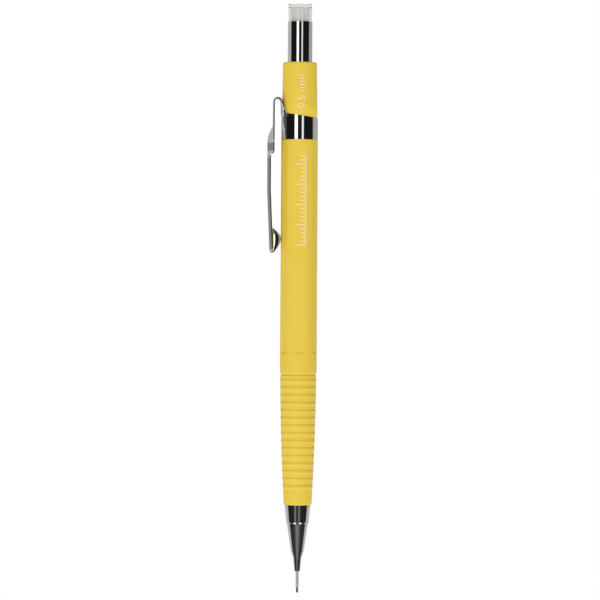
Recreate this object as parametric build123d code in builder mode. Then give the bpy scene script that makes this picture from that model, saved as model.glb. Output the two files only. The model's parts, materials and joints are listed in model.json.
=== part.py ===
"""A push-button mechanical pencil with a ribbed grip, a steel pocket clip and a capped eraser.

The pencil points down: +Z runs up the barrel and the origin lies on its axis, at the mouth
of the lead sleeve. The clip is on the -X side. All sizes are millimetres.
"""

import os
from math import asin, atan, cos, degrees, radians, sin

from build123d import *

# --- Lead -------------------------------------------------------------------------------
lead_diameter = 0.5
lead_length = 60.0
lead_stick_out = 1.3
lead_tip_round = 0.08
spare_lead_count = 3
spare_lead_offset = 0.72

# --- Lead sleeve and cone, from the sleeve's mouth upwards ---------------------------------
sleeve_diameter = 0.76
sleeve_exposed = 4.0
sleeve_sunk = 4.0
nose_radius = 0.72
nose_round = 0.15
taper_height = 3.3
neck_radius = 1.05
shoulder_height = 1.65
shoulder_radius = 1.6
cone_height = 6.65
cone_radius = 2.6
step_height = 0.6
step_land = 0.2
step_radius = 2.82
collar_height = 3.7
collar_radius = 3.23
rim_height = 0.6
rim_radius = 3.25
retainer_height = 2.0
retainer_radius = 0.95
retainer_floor = 0.3
funnel_height = 3.2
jaw_room_height = 4.5
jaw_room_radius = 1.8
ring_room_radius = 1.95
stem_length = 6.0
stem_radius = 2.6

# --- Barrel -----------------------------------------------------------------------------
barrel_radius = 4.54
grip_length = 33.3
grip_foot_radius = 3.46
grip_top_radius = 4.47
grip_bulge = 0.19
grip_foot_round = 0.3
land_length = 4.5
body_length = 52.6
flat_count = 6
flat_depth = 0.22
flat_run_out = 0.5
neck_length = 19.2
neck_foot_radius = 4.5
neck_top_radius = 4.2
neck_round = 0.4
spring_bore_radius = 2.3
button_bore_depth = 17.4

# --- Grip rings ---------------------------------------------------------------------------
ring_count = 16
ring_pitch = 1.878
groove_width = 0.75
groove_depth = 0.13
groove_flank = 0.2
land_groove_width = 0.97
land_groove_depth = 0.14
land_round = 1.07

# --- Chuck, clutch ring and seat ------------------------------------------------------------
jaw_count = 3
jaw_slit_angle = 8.0
jaw_length = 7.0
jaw_nose_height = 0.5
jaw_nose_radius = 1.45
jaw_tip_radius = 1.1
jaw_cone_height = 2.1
jaw_shank_radius = 0.9
clutch_ring_height = 1.7
clutch_ring_travel = 1.2
clutch_ring_bore = 1.1
rod_length = 8.0
rod_radius = 1.0
rod_bore = 0.35
seat_flange_height = 1.0
seat_flange_radius = 2.55
seat_bore = 1.45

# --- Return spring ------------------------------------------------------------------------
spring_wire = 0.4
spring_radius = 1.75
spring_length = 12.7
spring_turns = 11

# --- Lead magazine, button tube, eraser and cap ---------------------------------------------
magazine_set_back = 0.7
magazine_front_radius = 1.35
magazine_radius = 1.75
magazine_bore = 1.2
button_stick_out = 10.1
button_length = 20.5
button_radius = 3.04
button_wall = 0.19
tube_edge_round = 0.06
head_set_down = 2.0
head_floor = 0.5
eraser_pocket = 7.0
eraser_radius = 2.35
eraser_length = 12.4
eraser_round = 0.3
cap_radius = 2.9
cap_wall = 0.42
cap_height = 4.5
cap_roof = 0.9
cap_skirt = 1.9
cap_round = 0.25

# --- Pocket clip: heights from the barrel's clip shoulder, distances out from the axis --------
clip_sheet = 0.29
band_radius = 4.53
band_height_front = 6.6
band_height_back = 5.25
lug_half_width = 3.1
lug_overlap = 1.2
arm_half_width = 2.5
loop_height = 10.5
arm_distance = 6.57
ledge_end = -3.5
channel_start = 3.6
channel_full = -0.6
channel_distance = 7.97
channel_bend = -12.5
channel_foot_distance = 7.3
channel_side = 0.95
channel_half_width = 1.65
clip_drop = 28.1
bump_length = 6.5
bump_half_width = 1.25

# --- Clearances -------------------------------------------------------------------------
slide_gap = 0.05
fine_gap = 0.02
lead_gap = 0.01
thread_gap = 0.03
stop_gap = 0.1
clip_gap = 0.03

# --- Drawing aids: how far cutters reach past a surface, and where the first of three pieces is
cut_margin = 1.0
cut_stretch = 3
first_turn = 90

# --- Radii and heights worked out from the sizes above ---------------------------------------
lead_radius = lead_diameter / 2
sleeve_radius = sleeve_diameter / 2
neck_height = sleeve_exposed + taper_height
shoulder_top = neck_height + shoulder_height
cone_top = shoulder_top + cone_height
step_top = cone_top + step_height
collar_top = step_top + collar_height
grip_foot = collar_top + rim_height
stem_top = grip_foot + stem_length
seat_shoulder = stem_top + seat_flange_height
retainer_foot = sleeve_exposed + sleeve_sunk + retainer_floor
jaw_room_foot = retainer_foot + retainer_height + funnel_height
jaw_room_top = jaw_room_foot + jaw_room_height

land_foot = grip_foot + grip_length
ring_top = land_foot - land_round - land_groove_width
flats_foot = land_foot + land_length
clip_shoulder = flats_foot + body_length
barrel_top = clip_shoulder + neck_length
button_bore_foot = barrel_top - button_bore_depth
button_bore = button_radius + slide_gap
flat_distance = barrel_radius - flat_depth
cutter_reach = 2 * barrel_radius
land_edge_radius = 4 * land_round
shoulder_bend = 2 * shoulder_height

jaw_foot = jaw_room_top
jaw_root = jaw_foot + jaw_length
jaw_cone_foot = jaw_foot + jaw_nose_height
jaw_cone_top = jaw_cone_foot + jaw_cone_height
clutch_ring_foot = jaw_room_top + stop_gap + clutch_ring_travel
clutch_ring_top = clutch_ring_foot + clutch_ring_height
seat_foot = clutch_ring_top + fine_gap
rod_top = jaw_root + rod_length

spring_top = seat_shoulder + spring_length
magazine_foot = seat_shoulder + magazine_set_back
button_top = barrel_top + button_stick_out
button_foot = button_top - button_length
button_inside = button_radius - button_wall
head_top = button_top - head_set_down
eraser_foot = head_top - eraser_pocket
magazine_top = eraser_foot - head_floor
cap_foot = button_top + fine_gap
cap_top = cap_foot + cap_height

band_bore = band_radius - clip_sheet
band_top_front = clip_shoulder + band_height_front
band_middle = clip_shoulder + (band_height_front + band_height_back) / 2
band_slant = degrees(atan((band_height_front - band_height_back) / (2 * band_radius)))
neck_slope = (neck_top_radius - neck_foot_radius) / neck_length
lug_distance = neck_foot_radius + neck_slope * band_height_front + clip_gap
loop_radius = (arm_distance - lug_distance) / 2
loop_distance = arm_distance - loop_radius
loop_centre = clip_shoulder + loop_height - loop_radius
lug_middle = (band_top_front + loop_centre) / 2
lug_middle_bend = 1.5 * lug_distance
lug_top_bend = 10 * lug_distance
clip_foot = clip_shoulder - clip_drop
channel_foot_inside = channel_foot_distance - channel_side
bump_reach = barrel_radius + clip_gap
bump_top = clip_foot + bump_length
bump_middle = clip_foot + bump_length / 2

os.makedirs("parts", exist_ok=True)


def half_section(*corners, plane=Plane.XZ):
    """The face of a turned piece's half section, from its (radius, height) corners."""
    with BuildSketch(plane) as section:
        with BuildLine():
            Polyline(*corners, close=True)
        make_face()
    return section.sketch


def side_section(*corners):
    """A face in the clip's middle plane, from (distance out from the axis, height) corners."""
    return half_section(*[(-distance, height) for distance, height in corners])


def grip_radius(height):
    """The grip's radius over its rings, an ogive from its foot up to the last groove."""
    share = (height - grip_foot) / (ring_top - grip_foot)
    taper = grip_foot_radius + (grip_top_radius - grip_foot_radius) * share
    return taper + 4 * grip_bulge * share * (1 - share)


def jaw_cone_radius(height):
    """The radius of the closed jaws' cone, which narrows upwards from the nose."""
    share = (height - jaw_cone_foot) / jaw_cone_height
    return jaw_nose_radius + (jaw_shank_radius - jaw_nose_radius) * share


def space_over_band(gap):
    """The slanted space over the clip band, starting that gap above its top edge."""
    with BuildPart() as space:
        with BuildSketch(Plane(origin=(0, 0, band_middle + gap)).rotated((0, band_slant, 0))):
            Rectangle(2 * cutter_reach, 2 * cutter_reach)
        extrude(amount=cutter_reach)
    return space.part


def lug_section(height, distance, bend_radius, half_width):
    """A level slice of the clip's lug: a strip of sheet bent about the barrel's axis side."""
    half_angle = asin(half_width / bend_radius)
    centre = bend_radius - distance
    corners = []
    for radius in (bend_radius, bend_radius + clip_sheet):
        across = radius * sin(half_angle)
        along = centre - radius * cos(half_angle)
        corners.append(((along, -across), (centre - radius, 0), (along, across)))
    with BuildSketch(Plane.XY.offset(height)) as section:
        with BuildLine():
            inner = ThreePointArc(*corners[0])
            outer = ThreePointArc(*corners[1])
            Line(inner @ 0, outer @ 0)
            Line(inner @ 1, outer @ 1)
        make_face()
    return section.sketch


# ==========================================================================================
# Cutters: the clip band's recess and one barrel flat
# ==========================================================================================
with BuildPart() as band_recess:
    with BuildSketch(Plane.XY.offset(clip_shoulder)):
        Circle(barrel_radius + cut_margin)
        Circle(band_bore - fine_gap, mode=Mode.SUBTRACT)
    extrude(amount=band_height_front + cut_margin)
    add(space_over_band(fine_gap), mode=Mode.SUBTRACT)

with BuildPart() as flat_cutter:
    with BuildSketch(Plane.XZ):
        with BuildLine():
            Polyline(
                (flat_distance, flats_foot),
                (flat_distance, clip_shoulder),
                (flat_distance + cut_stretch * flat_depth, clip_shoulder),
                (flat_distance + cut_stretch * flat_depth, flats_foot - cut_stretch * flat_run_out),
                close=True,
            )
        make_face()
    extrude(amount=barrel_radius / 2, both=True)

# ==========================================================================================
# Barrel: one moulding with the ribbed grip, the round land, six shallow flats and the neck
# ==========================================================================================
with BuildPart() as barrel:
    with BuildSketch(Plane.XZ):
        with BuildLine():
            foot = Line((0, grip_foot), (grip_foot_radius, grip_foot))
            middle = (grip_foot + ring_top) / 2
            grip = ThreePointArc(foot @ 1, (grip_radius(middle), middle), (grip_top_radius, ring_top))
            groove_floor = barrel_radius - land_groove_depth
            groove = Polyline(
                grip @ 1,
                (groove_floor, ring_top),
                (groove_floor, ring_top + land_groove_width),
            )
            edge = RadiusArc(groove @ 1, (barrel_radius, land_foot), land_edge_radius)
            Polyline(
                edge @ 1,
                (barrel_radius, clip_shoulder),
                (neck_foot_radius, clip_shoulder),
                (neck_top_radius, barrel_top),
                (0, barrel_top),
                foot @ 0,
            )
        make_face()
    revolve(axis=Axis.Z)
    fillet(barrel.edges().filter_by(GeomType.CIRCLE).sort_by(Axis.Z)[0], radius=grip_foot_round)
    fillet(barrel.edges().filter_by(GeomType.CIRCLE).sort_by(Axis.Z)[-1], radius=neck_round)
    for number in range(1, ring_count):
        edge_height = ring_top - number * ring_pitch
        flank_foot = edge_height + groove_width - groove_flank
        floor_radius = grip_radius(edge_height) - groove_depth
        groove_face = half_section(
            (floor_radius, edge_height),
            (floor_radius + cut_stretch * groove_depth, edge_height),
            (floor_radius + cut_stretch * groove_depth, flank_foot + cut_stretch * groove_flank),
            (floor_radius, flank_foot),
        )
        revolve(groove_face, axis=Axis.Z, mode=Mode.SUBTRACT)
    with PolarLocations(0, flat_count, start_angle=180 / flat_count):
        add(flat_cutter.part, mode=Mode.SUBTRACT)
    add(band_recess.part, mode=Mode.SUBTRACT)
    stem_bore = stem_radius + thread_gap
    bore_face = half_section(
        (0, grip_foot - cut_margin),
        (stem_bore, grip_foot - cut_margin),
        (stem_bore, seat_shoulder),
        (spring_bore_radius, seat_shoulder),
        (spring_bore_radius, button_bore_foot),
        (button_bore, button_bore_foot + button_bore - spring_bore_radius),
        (button_bore, barrel_top + cut_margin),
        (0, barrel_top + cut_margin),
    )
    revolve(bore_face, axis=Axis.Z, mode=Mode.SUBTRACT)
barrel.part.label = "barrel"
export_step(barrel.part, "parts/barrel.step")

# ==========================================================================================
# Tip: the plated cone with its threaded stem, the lead sleeve pressed into its nose, and the
# rubber ring that keeps the lead from falling out
# ==========================================================================================
with BuildPart() as tip_cone:
    with BuildSketch(Plane.XZ):
        with BuildLine():
            nose = Polyline(
                (sleeve_radius, sleeve_exposed + nose_round),
                (sleeve_radius + nose_round, sleeve_exposed),
                (nose_radius - nose_round, sleeve_exposed),
                (nose_radius, sleeve_exposed + nose_round),
                (neck_radius, neck_height),
            )
            shoulder = RadiusArc(nose @ 1, (shoulder_radius, shoulder_top), -shoulder_bend)
            Polyline(
                shoulder @ 1,
                (cone_radius, cone_top),
                (cone_radius, cone_top + step_land),
                (step_radius, step_top),
                (collar_radius, collar_top),
                (rim_radius, collar_top),
                (rim_radius, grip_foot),
                (stem_radius, grip_foot),
                (stem_radius, stem_top),
                (ring_room_radius, stem_top),
                (ring_room_radius, jaw_room_top),
                (jaw_room_radius, jaw_room_top),
                (jaw_room_radius, jaw_room_foot),
                (retainer_radius, jaw_room_foot - (jaw_room_radius - retainer_radius)),
                (retainer_radius, retainer_foot),
                (sleeve_radius, retainer_foot),
                nose @ 0,
            )
        make_face()
    revolve(axis=Axis.Z)
tip_cone.part.label = "tip_cone"
export_step(tip_cone.part, "parts/tip_cone.step")

with BuildPart() as lead_sleeve:
    with BuildSketch(Plane.XY):
        Circle(sleeve_radius)
        Circle(lead_radius + fine_gap, mode=Mode.SUBTRACT)
    extrude(amount=sleeve_exposed + sleeve_sunk)
lead_sleeve.part.label = "lead_sleeve"
export_step(lead_sleeve.part, "parts/lead_sleeve.step")

with BuildPart() as lead_retainer:
    with BuildSketch(Plane.XY.offset(retainer_foot + fine_gap)):
        Circle(retainer_radius - lead_gap)
        Circle(lead_radius + lead_gap, mode=Mode.SUBTRACT)
    extrude(amount=retainer_height)
lead_retainer.part.label = "lead_retainer"
export_step(lead_retainer.part, "parts/lead_retainer.step")

with BuildPart() as writing_lead:
    with BuildSketch(Plane.XY.offset(-lead_stick_out)):
        Circle(lead_radius)
    extrude(amount=lead_length)
    fillet(writing_lead.edges().sort_by(Axis.Z)[0], radius=lead_tip_round)
writing_lead.part.label = "writing_lead"
export_step(writing_lead.part, "parts/writing_lead.step")

# ==========================================================================================
# Clutch: three jaws on a drilled rod, the ring that closes them, and the seat that stops the
# ring and carries the spring
# ==========================================================================================
jaw_arc = 360 / jaw_count - jaw_slit_angle
for number in range(jaw_count):
    jaw_name = f"chuck_jaw_{number + 1}"
    first_face = radians(first_turn + number * 360 / jaw_count - jaw_arc / 2)
    jaw_plane = Plane(
        origin=(0, 0, 0),
        x_dir=(cos(first_face), sin(first_face), 0),
        z_dir=(sin(first_face), -cos(first_face), 0),
    )
    with BuildPart() as chuck_jaw:
        jaw_face = half_section(
            (lead_radius + lead_gap, jaw_foot),
            (jaw_tip_radius, jaw_foot),
            (jaw_nose_radius, jaw_cone_foot),
            (jaw_shank_radius, jaw_cone_top),
            (jaw_shank_radius, jaw_root),
            (rod_bore, jaw_root),
            (rod_bore, jaw_cone_top),
            (lead_radius + lead_gap, jaw_cone_top - rod_bore),
            plane=jaw_plane,
        )
        revolve(jaw_face, axis=Axis.Z, revolution_arc=jaw_arc)
    chuck_jaw.part.label = jaw_name
    export_step(chuck_jaw.part, f"parts/{jaw_name}.step")

with BuildPart() as chuck_rod:
    with BuildSketch(Plane.XY.offset(jaw_root)):
        Circle(rod_radius)
    extrude(amount=rod_length)
    with Locations((0, 0, rod_top)):
        CounterSinkHole(radius=rod_bore, counter_sink_radius=spare_lead_offset - lead_radius)
chuck_rod.part.label = "chuck_rod"
export_step(chuck_rod.part, "parts/chuck_rod.step")

with BuildPart() as clutch_ring:
    ring_bore_foot = jaw_cone_radius(clutch_ring_foot) + fine_gap
    ring_taper = (ring_bore_foot - clutch_ring_bore) * jaw_cone_height / (jaw_nose_radius - jaw_shank_radius)
    ring_face = half_section(
        (ring_bore_foot, clutch_ring_foot),
        (ring_room_radius - slide_gap, clutch_ring_foot),
        (ring_room_radius - slide_gap, clutch_ring_top),
        (clutch_ring_bore, clutch_ring_top),
        (clutch_ring_bore, clutch_ring_foot + ring_taper),
    )
    revolve(ring_face, axis=Axis.Z)
clutch_ring.part.label = "clutch_ring"
export_step(clutch_ring.part, "parts/clutch_ring.step")

with BuildPart() as spring_seat:
    seat_face = half_section(
        (seat_bore, seat_foot),
        (ring_room_radius - fine_gap, seat_foot),
        (ring_room_radius - fine_gap, stem_top + fine_gap),
        (seat_flange_radius, stem_top + fine_gap),
        (seat_flange_radius, seat_shoulder),
        (seat_bore, seat_shoulder),
    )
    revolve(seat_face, axis=Axis.Z)
spring_seat.part.label = "spring_seat"
export_step(spring_seat.part, "parts/spring_seat.step")

# ==========================================================================================
# Return spring, between the seat and the magazine's step
# ==========================================================================================
with BuildPart() as return_spring:
    coil_height = spring_length - spring_wire - 2 * fine_gap
    coil_foot = seat_shoulder + fine_gap + spring_wire / 2
    with BuildLine():
        coil = Helix(
            pitch=coil_height / spring_turns,
            height=coil_height,
            radius=spring_radius,
            center=(0, 0, coil_foot),
        )
    with BuildSketch(Plane(origin=coil @ 0, z_dir=coil % 0)):
        Circle(spring_wire / 2)
    sweep(is_frenet=True)
return_spring.part.label = "return_spring"
export_step(return_spring.part, "parts/return_spring.step")

# ==========================================================================================
# Lead magazine with its spare leads, the head that carries it and the button tube
# ==========================================================================================
with BuildPart() as magazine:
    magazine_face = half_section(
        (rod_radius, magazine_foot),
        (magazine_front_radius, magazine_foot),
        (magazine_front_radius, spring_top),
        (magazine_radius, spring_top),
        (magazine_radius, magazine_top),
        (magazine_bore, magazine_top),
        (magazine_bore, rod_top),
        (rod_radius, rod_top),
    )
    revolve(magazine_face, axis=Axis.Z)
magazine.part.label = "lead_magazine"
export_step(magazine.part, "parts/lead_magazine.step")

for number in range(spare_lead_count):
    spare_name = f"spare_lead_{number + 1}"
    turn = radians(first_turn + number * 360 / spare_lead_count)
    spare_place = (spare_lead_offset * cos(turn), spare_lead_offset * sin(turn))
    with BuildPart() as spare_lead:
        with BuildSketch(Plane.XY.offset(rod_top + fine_gap)):
            with Locations(spare_place):
                Circle(lead_radius)
        extrude(amount=lead_length)
    spare_lead.part.label = spare_name
    export_step(spare_lead.part, f"parts/{spare_name}.step")

with BuildPart() as button_tube:
    with BuildSketch(Plane.XY.offset(button_foot)):
        Circle(button_radius)
        Circle(button_inside, mode=Mode.SUBTRACT)
    extrude(amount=button_length)
    fillet(button_tube.edges().filter_by(GeomType.CIRCLE).group_by(Axis.Z)[-1], radius=tube_edge_round)
button_tube.part.label = "button_tube"
export_step(button_tube.part, "parts/button_tube.step")

with BuildPart() as tube_head:
    eraser_bore = eraser_radius + fine_gap
    head_face = half_section(
        (magazine_radius, button_foot),
        (button_inside, button_foot),
        (button_inside, head_top),
        (eraser_bore, head_top),
        (eraser_bore, eraser_foot - fine_gap),
        (magazine_bore, eraser_foot - fine_gap),
        (magazine_bore, magazine_top),
        (magazine_radius, magazine_top),
    )
    revolve(head_face, axis=Axis.Z)
tube_head.part.label = "tube_head"
export_step(tube_head.part, "parts/tube_head.step")

with BuildPart() as eraser:
    with BuildSketch(Plane.XY.offset(eraser_foot)):
        Circle(eraser_radius)
    extrude(amount=eraser_length)
    fillet(eraser.edges().filter_by(GeomType.CIRCLE), radius=eraser_round)
eraser.part.label = "eraser"
export_step(eraser.part, "parts/eraser.step")

with BuildPart() as eraser_cap:
    cap_bore = cap_radius - cap_wall
    cap_face = half_section(
        (cap_bore, cap_foot - cap_skirt),
        (button_inside - fine_gap, cap_foot - cap_skirt),
        (button_inside - fine_gap, cap_foot),
        (cap_radius, cap_foot),
        (cap_radius, cap_top),
        (0, cap_top),
        (0, cap_top - cap_roof),
        (cap_bore, cap_top - cap_roof),
    )
    revolve(cap_face, axis=Axis.Z)
    fillet(eraser_cap.edges().filter_by(GeomType.CIRCLE).sort_by(Axis.Z)[-1], radius=cap_round)
eraser_cap.part.label = "eraser_cap"
export_step(eraser_cap.part, "parts/eraser_cap.step")

# ==========================================================================================
# Pocket clip: the band with its lug and half of the loop stays on the barrel, and the arm
# with the other half of the loop springs away from it
# ==========================================================================================
lug_levels = (
    lug_section(band_top_front - lug_overlap, band_bore, band_bore, lug_half_width),
    lug_section(band_top_front - clip_gap, lug_distance, lug_distance, lug_half_width),
    lug_section(lug_middle, lug_distance, lug_middle_bend, arm_half_width),
    lug_section(loop_centre, lug_distance, lug_top_bend, arm_half_width),
)
with BuildPart() as clip_band:
    with BuildSketch(Plane.XY.offset(clip_shoulder + fine_gap)):
        Circle(band_radius)
        Circle(band_bore, mode=Mode.SUBTRACT)
    extrude(amount=band_height_front + cut_margin)
    add(space_over_band(0), mode=Mode.SUBTRACT)
    for lower, upper in zip(lug_levels, lug_levels[1:]):
        loft([lower, upper], ruled=True)
    with BuildSketch(Plane.XZ):
        with Locations((-loop_distance, loop_centre)):
            Circle(loop_radius)
            Circle(loop_radius - clip_sheet, mode=Mode.SUBTRACT)
        with Locations((-loop_distance + clip_gap / 2, loop_centre)):
            Rectangle(loop_radius, loop_radius, align=(Align.MIN, Align.MIN), mode=Mode.INTERSECT)
    extrude(amount=arm_half_width, both=True)
clip_band.part.label = "clip_band"
export_step(clip_band.part, "parts/clip_band.step")

with BuildPart() as clip_arm:
    with BuildSketch(Plane.XZ):
        with Locations((-loop_distance, loop_centre)):
            Circle(loop_radius)
            Circle(loop_radius - clip_sheet, mode=Mode.SUBTRACT)
        with Locations((-loop_distance - clip_gap / 2, loop_centre)):
            Rectangle(loop_radius, loop_radius, align=(Align.MAX, Align.MIN), mode=Mode.INTERSECT)
    extrude(amount=arm_half_width, both=True)
    strip_face = side_section(
        (arm_distance - clip_sheet, loop_centre),
        (arm_distance, loop_centre),
        (arm_distance, clip_shoulder + ledge_end),
        (arm_distance - clip_sheet, clip_shoulder + ledge_end),
    )
    extrude(strip_face, amount=arm_half_width, both=True)
    channel_face = side_section(
        (arm_distance - clip_sheet, clip_shoulder + channel_start),
        (arm_distance, clip_shoulder + channel_start),
        (channel_distance, clip_shoulder + channel_full),
        (channel_distance, clip_shoulder + channel_bend),
        (channel_foot_distance, clip_foot),
        (channel_foot_inside, clip_foot),
        (channel_distance - channel_side, clip_shoulder + channel_bend),
        (channel_distance - channel_side, clip_shoulder + ledge_end),
        (arm_distance - clip_sheet, clip_shoulder + ledge_end),
    )
    extrude(channel_face, amount=channel_half_width, both=True)
    hollow_face = side_section(
        (arm_distance - 2 * clip_sheet, clip_shoulder + channel_start - clip_sheet),
        (arm_distance - clip_sheet, clip_shoulder + channel_start - clip_sheet),
        (channel_distance - clip_sheet, clip_shoulder + channel_full),
        (channel_distance - clip_sheet, clip_shoulder + channel_bend),
        (channel_foot_distance - clip_sheet, clip_foot + clip_sheet),
        (arm_distance - 2 * clip_sheet, clip_foot + clip_sheet),
    )
    extrude(hollow_face, amount=channel_half_width - clip_sheet, both=True, mode=Mode.SUBTRACT)
    with BuildSketch(Plane.XZ):
        with BuildLine():
            bump = ThreePointArc(
                (-channel_foot_inside, clip_foot),
                (-bump_reach, bump_middle),
                (-channel_foot_inside, bump_top),
            )
            Polyline(
                bump @ 1,
                (-channel_foot_distance + clip_sheet / 2, bump_top),
                (-channel_foot_distance + clip_sheet / 2, clip_foot),
                bump @ 0,
            )
        make_face()
    extrude(amount=bump_half_width, both=True)
clip_arm.part.label = "clip_arm"
export_step(clip_arm.part, "parts/clip_arm.step")
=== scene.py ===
"""Looks for a push-button mechanical pencil: the visible pieces, their finishes and the studio.

The pencil points down. +Z runs up the barrel from the mouth of the lead sleeve, and the pocket
clip is on the -X side. Every length is in metres; MM turns millimetres into metres.
"""

import json
import math

import bmesh
import bpy
from bpy.props import FloatProperty, FloatVectorProperty, IntProperty, PointerProperty, StringProperty
from bpy.types import Operator, Panel, PropertyGroup
from mathutils import Euler, Matrix, Vector


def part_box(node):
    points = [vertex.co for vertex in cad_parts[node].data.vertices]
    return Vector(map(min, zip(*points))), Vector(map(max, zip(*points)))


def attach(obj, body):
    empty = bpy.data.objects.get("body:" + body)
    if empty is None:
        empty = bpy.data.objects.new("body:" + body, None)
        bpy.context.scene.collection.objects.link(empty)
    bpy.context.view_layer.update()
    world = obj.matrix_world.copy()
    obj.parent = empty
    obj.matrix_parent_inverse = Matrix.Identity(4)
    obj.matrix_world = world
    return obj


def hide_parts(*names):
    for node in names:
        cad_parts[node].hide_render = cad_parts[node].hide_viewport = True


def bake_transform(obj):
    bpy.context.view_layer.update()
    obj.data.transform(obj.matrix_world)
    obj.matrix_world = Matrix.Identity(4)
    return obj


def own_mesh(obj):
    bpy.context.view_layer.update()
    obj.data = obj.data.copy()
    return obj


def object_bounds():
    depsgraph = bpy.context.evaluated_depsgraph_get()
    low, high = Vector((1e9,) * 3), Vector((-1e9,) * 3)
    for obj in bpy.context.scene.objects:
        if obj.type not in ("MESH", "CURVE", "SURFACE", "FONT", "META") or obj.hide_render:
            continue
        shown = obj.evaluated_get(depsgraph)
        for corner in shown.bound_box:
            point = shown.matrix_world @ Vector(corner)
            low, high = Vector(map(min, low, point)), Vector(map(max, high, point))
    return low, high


bl_info = {
    "name": "Mechanical Pencil",
    "version": (1, 0, 0),
    "blender": (4, 5, 0),
    "location": "3D View > Sidebar > Pencil",
    "description": "Builds the visible pieces, finishes and studio of a mechanical pencil",
    "category": "Object",
}

MM = 0.001
TINY = 1e-9
RING_EDGE = 0.3  # depth of a ring's worn upper edge, as a share of the groove's depth
FINISH_MARK = "_finish"  # keeps the finishes apart from the plain materials that come with the frame

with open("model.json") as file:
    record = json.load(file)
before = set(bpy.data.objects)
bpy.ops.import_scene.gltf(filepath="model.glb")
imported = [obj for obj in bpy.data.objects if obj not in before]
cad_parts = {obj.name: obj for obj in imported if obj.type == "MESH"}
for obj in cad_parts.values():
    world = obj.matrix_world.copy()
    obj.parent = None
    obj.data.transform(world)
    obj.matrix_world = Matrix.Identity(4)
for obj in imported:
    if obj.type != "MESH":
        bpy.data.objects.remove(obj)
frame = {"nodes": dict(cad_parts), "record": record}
cad_low, cad_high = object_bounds()
barrel_low, barrel_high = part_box("barrel")
cone_low, cone_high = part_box("tip_cone")
sleeve_low, sleeve_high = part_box("lead_sleeve")
lead_low, lead_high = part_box("writing_lead")
band_low, band_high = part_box("clip_band")
arm_low, arm_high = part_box("clip_arm")
tube_low, tube_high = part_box("button_tube")
cap_low, cap_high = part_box("eraser_cap")
eraser_low, eraser_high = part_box("eraser")
coil_low, coil_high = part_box("return_spring")


def length(name, description, millimetres):
    """A length property, written in millimetres and kept in metres."""
    value = millimetres * MM
    return FloatProperty(name=name, description=description, default=value, unit="LENGTH", precision=5)


def tint(name, description, colour):
    """A colour property in linear light."""
    return FloatVectorProperty(
        name=name, description=description, default=colour, size=3, min=0, max=1, subtype="COLOR"
    )


# Sizes and colours that a user may change
class BarrelSizes(PropertyGroup):
    """Sizes of the barrel that its box doesn't give."""

    segments: IntProperty(name="Segments", description="Faces round the barrel", default=180, min=24)
    groove_count: IntProperty(name="Grooves", description="Grooves between the rings", default=15, min=1)
    ring_pitch: length("Ring pitch", "Height of one ring and its groove", 1.878)
    groove_width: length("Groove width", "Height of a groove at the surface", 0.60)
    groove_depth: length("Groove depth", "Depth of a groove below the rings", 0.13)
    groove_flank: length("Groove flank", "Height of the soft slope above a groove's bead", 0.2)
    grip_foot_radius: length("Grip foot radius", "Radius at the grip's lower end", 3.46)
    grip_top_radius: length("Grip top radius", "Radius of the highest ring", 4.47)
    grip_bulge: length("Grip bulge", "How far the grip's side bows out of a straight taper", 0.19)
    grip_length: length("Grip length", "From the grip's foot to the land", 33.3)
    foot_round: length("Foot rounding", "Rounding of the grip's lower edge", 0.3)
    land_groove_width: length("Land groove width", "Height of the groove under the land", 0.97)
    land_groove_depth: length("Land groove depth", "Depth of the groove under the land", 0.14)
    land_round: length("Land rounding", "Height of the land's rounded lower edge", 1.07)
    land_length: length("Land length", "From the land's foot to the flats", 4.5)
    body_length: length("Body length", "From the flats' foot to the clip's shoulder", 52.6)
    flat_depth: length("Flat depth", "How far each flat is cut into the round body", 0.22)
    flat_run_out: length("Flat run-out", "Height of the ramp at each flat's foot", 0.5)
    neck_foot_radius: length("Neck foot radius", "Radius just above the clip's shoulder", 4.5)
    neck_top_radius: length("Neck top radius", "Radius at the barrel's top", 4.2)
    neck_round: length("Neck rounding", "Rounding of the barrel's top edge", 0.4)
    recess_radius: length("Recess radius", "Radius of the recess under the clip band", 4.22)
    button_bore: length("Button bore", "Radius of the bore round the button tube", 3.09)
    spring_bore: length("Spring bore", "Radius of the bore round the spring", 2.3)
    stem_bore: length("Stem bore", "Radius of the threaded bore for the cone", 2.63)
    stem_depth: length("Stem depth", "Depth of the threaded bore", 7.0)
    button_depth: length("Button bore depth", "Depth of the wide bore from the top", 17.4)


class TipSizes(PropertyGroup):
    """Heights and radii of the cone's outline."""

    nose_radius: length("Nose radius", "Radius of the cone's end", 0.72)
    neck_radius: length("Neck radius", "Radius at the foot of the shoulder", 1.05)
    neck_height: length("Neck height", "Height of the shoulder's foot", 7.3)
    shoulder_radius: length("Shoulder radius", "Radius at the top of the shoulder", 1.6)
    shoulder_height: length("Shoulder height", "Height of the shoulder's top", 8.95)
    cone_radius: length("Cone radius", "Radius at the top of the long taper", 2.6)
    cone_height: length("Cone height", "Height of the long taper's top", 15.6)
    step_radius: length("Step radius", "Radius of the collar's lower edge", 2.82)
    step_height: length("Step height", "Height of the collar's lower edge", 16.2)
    stem_root: length("Stem root radius", "Radius of the stem under its thread", 2.46)
    stem_length: length("Stem length", "Length of the threaded stem", 6.0)
    stem_bore: length("Stem bore", "Radius inside the stem", 1.95)
    jaw_room_top: length("Jaw room top", "Height of the step inside the stem", 18.0)
    jaw_room_foot: length("Jaw room foot", "Height of the jaw room's floor", 13.5)
    jaw_room_radius: length("Jaw room radius", "Radius of the room round the jaws", 1.8)
    pocket_radius: length("Pocket radius", "Radius of the retainer's pocket", 0.95)
    thread_pitch: length("Thread pitch", "Rise of the thread in one turn", 0.5)


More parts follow.
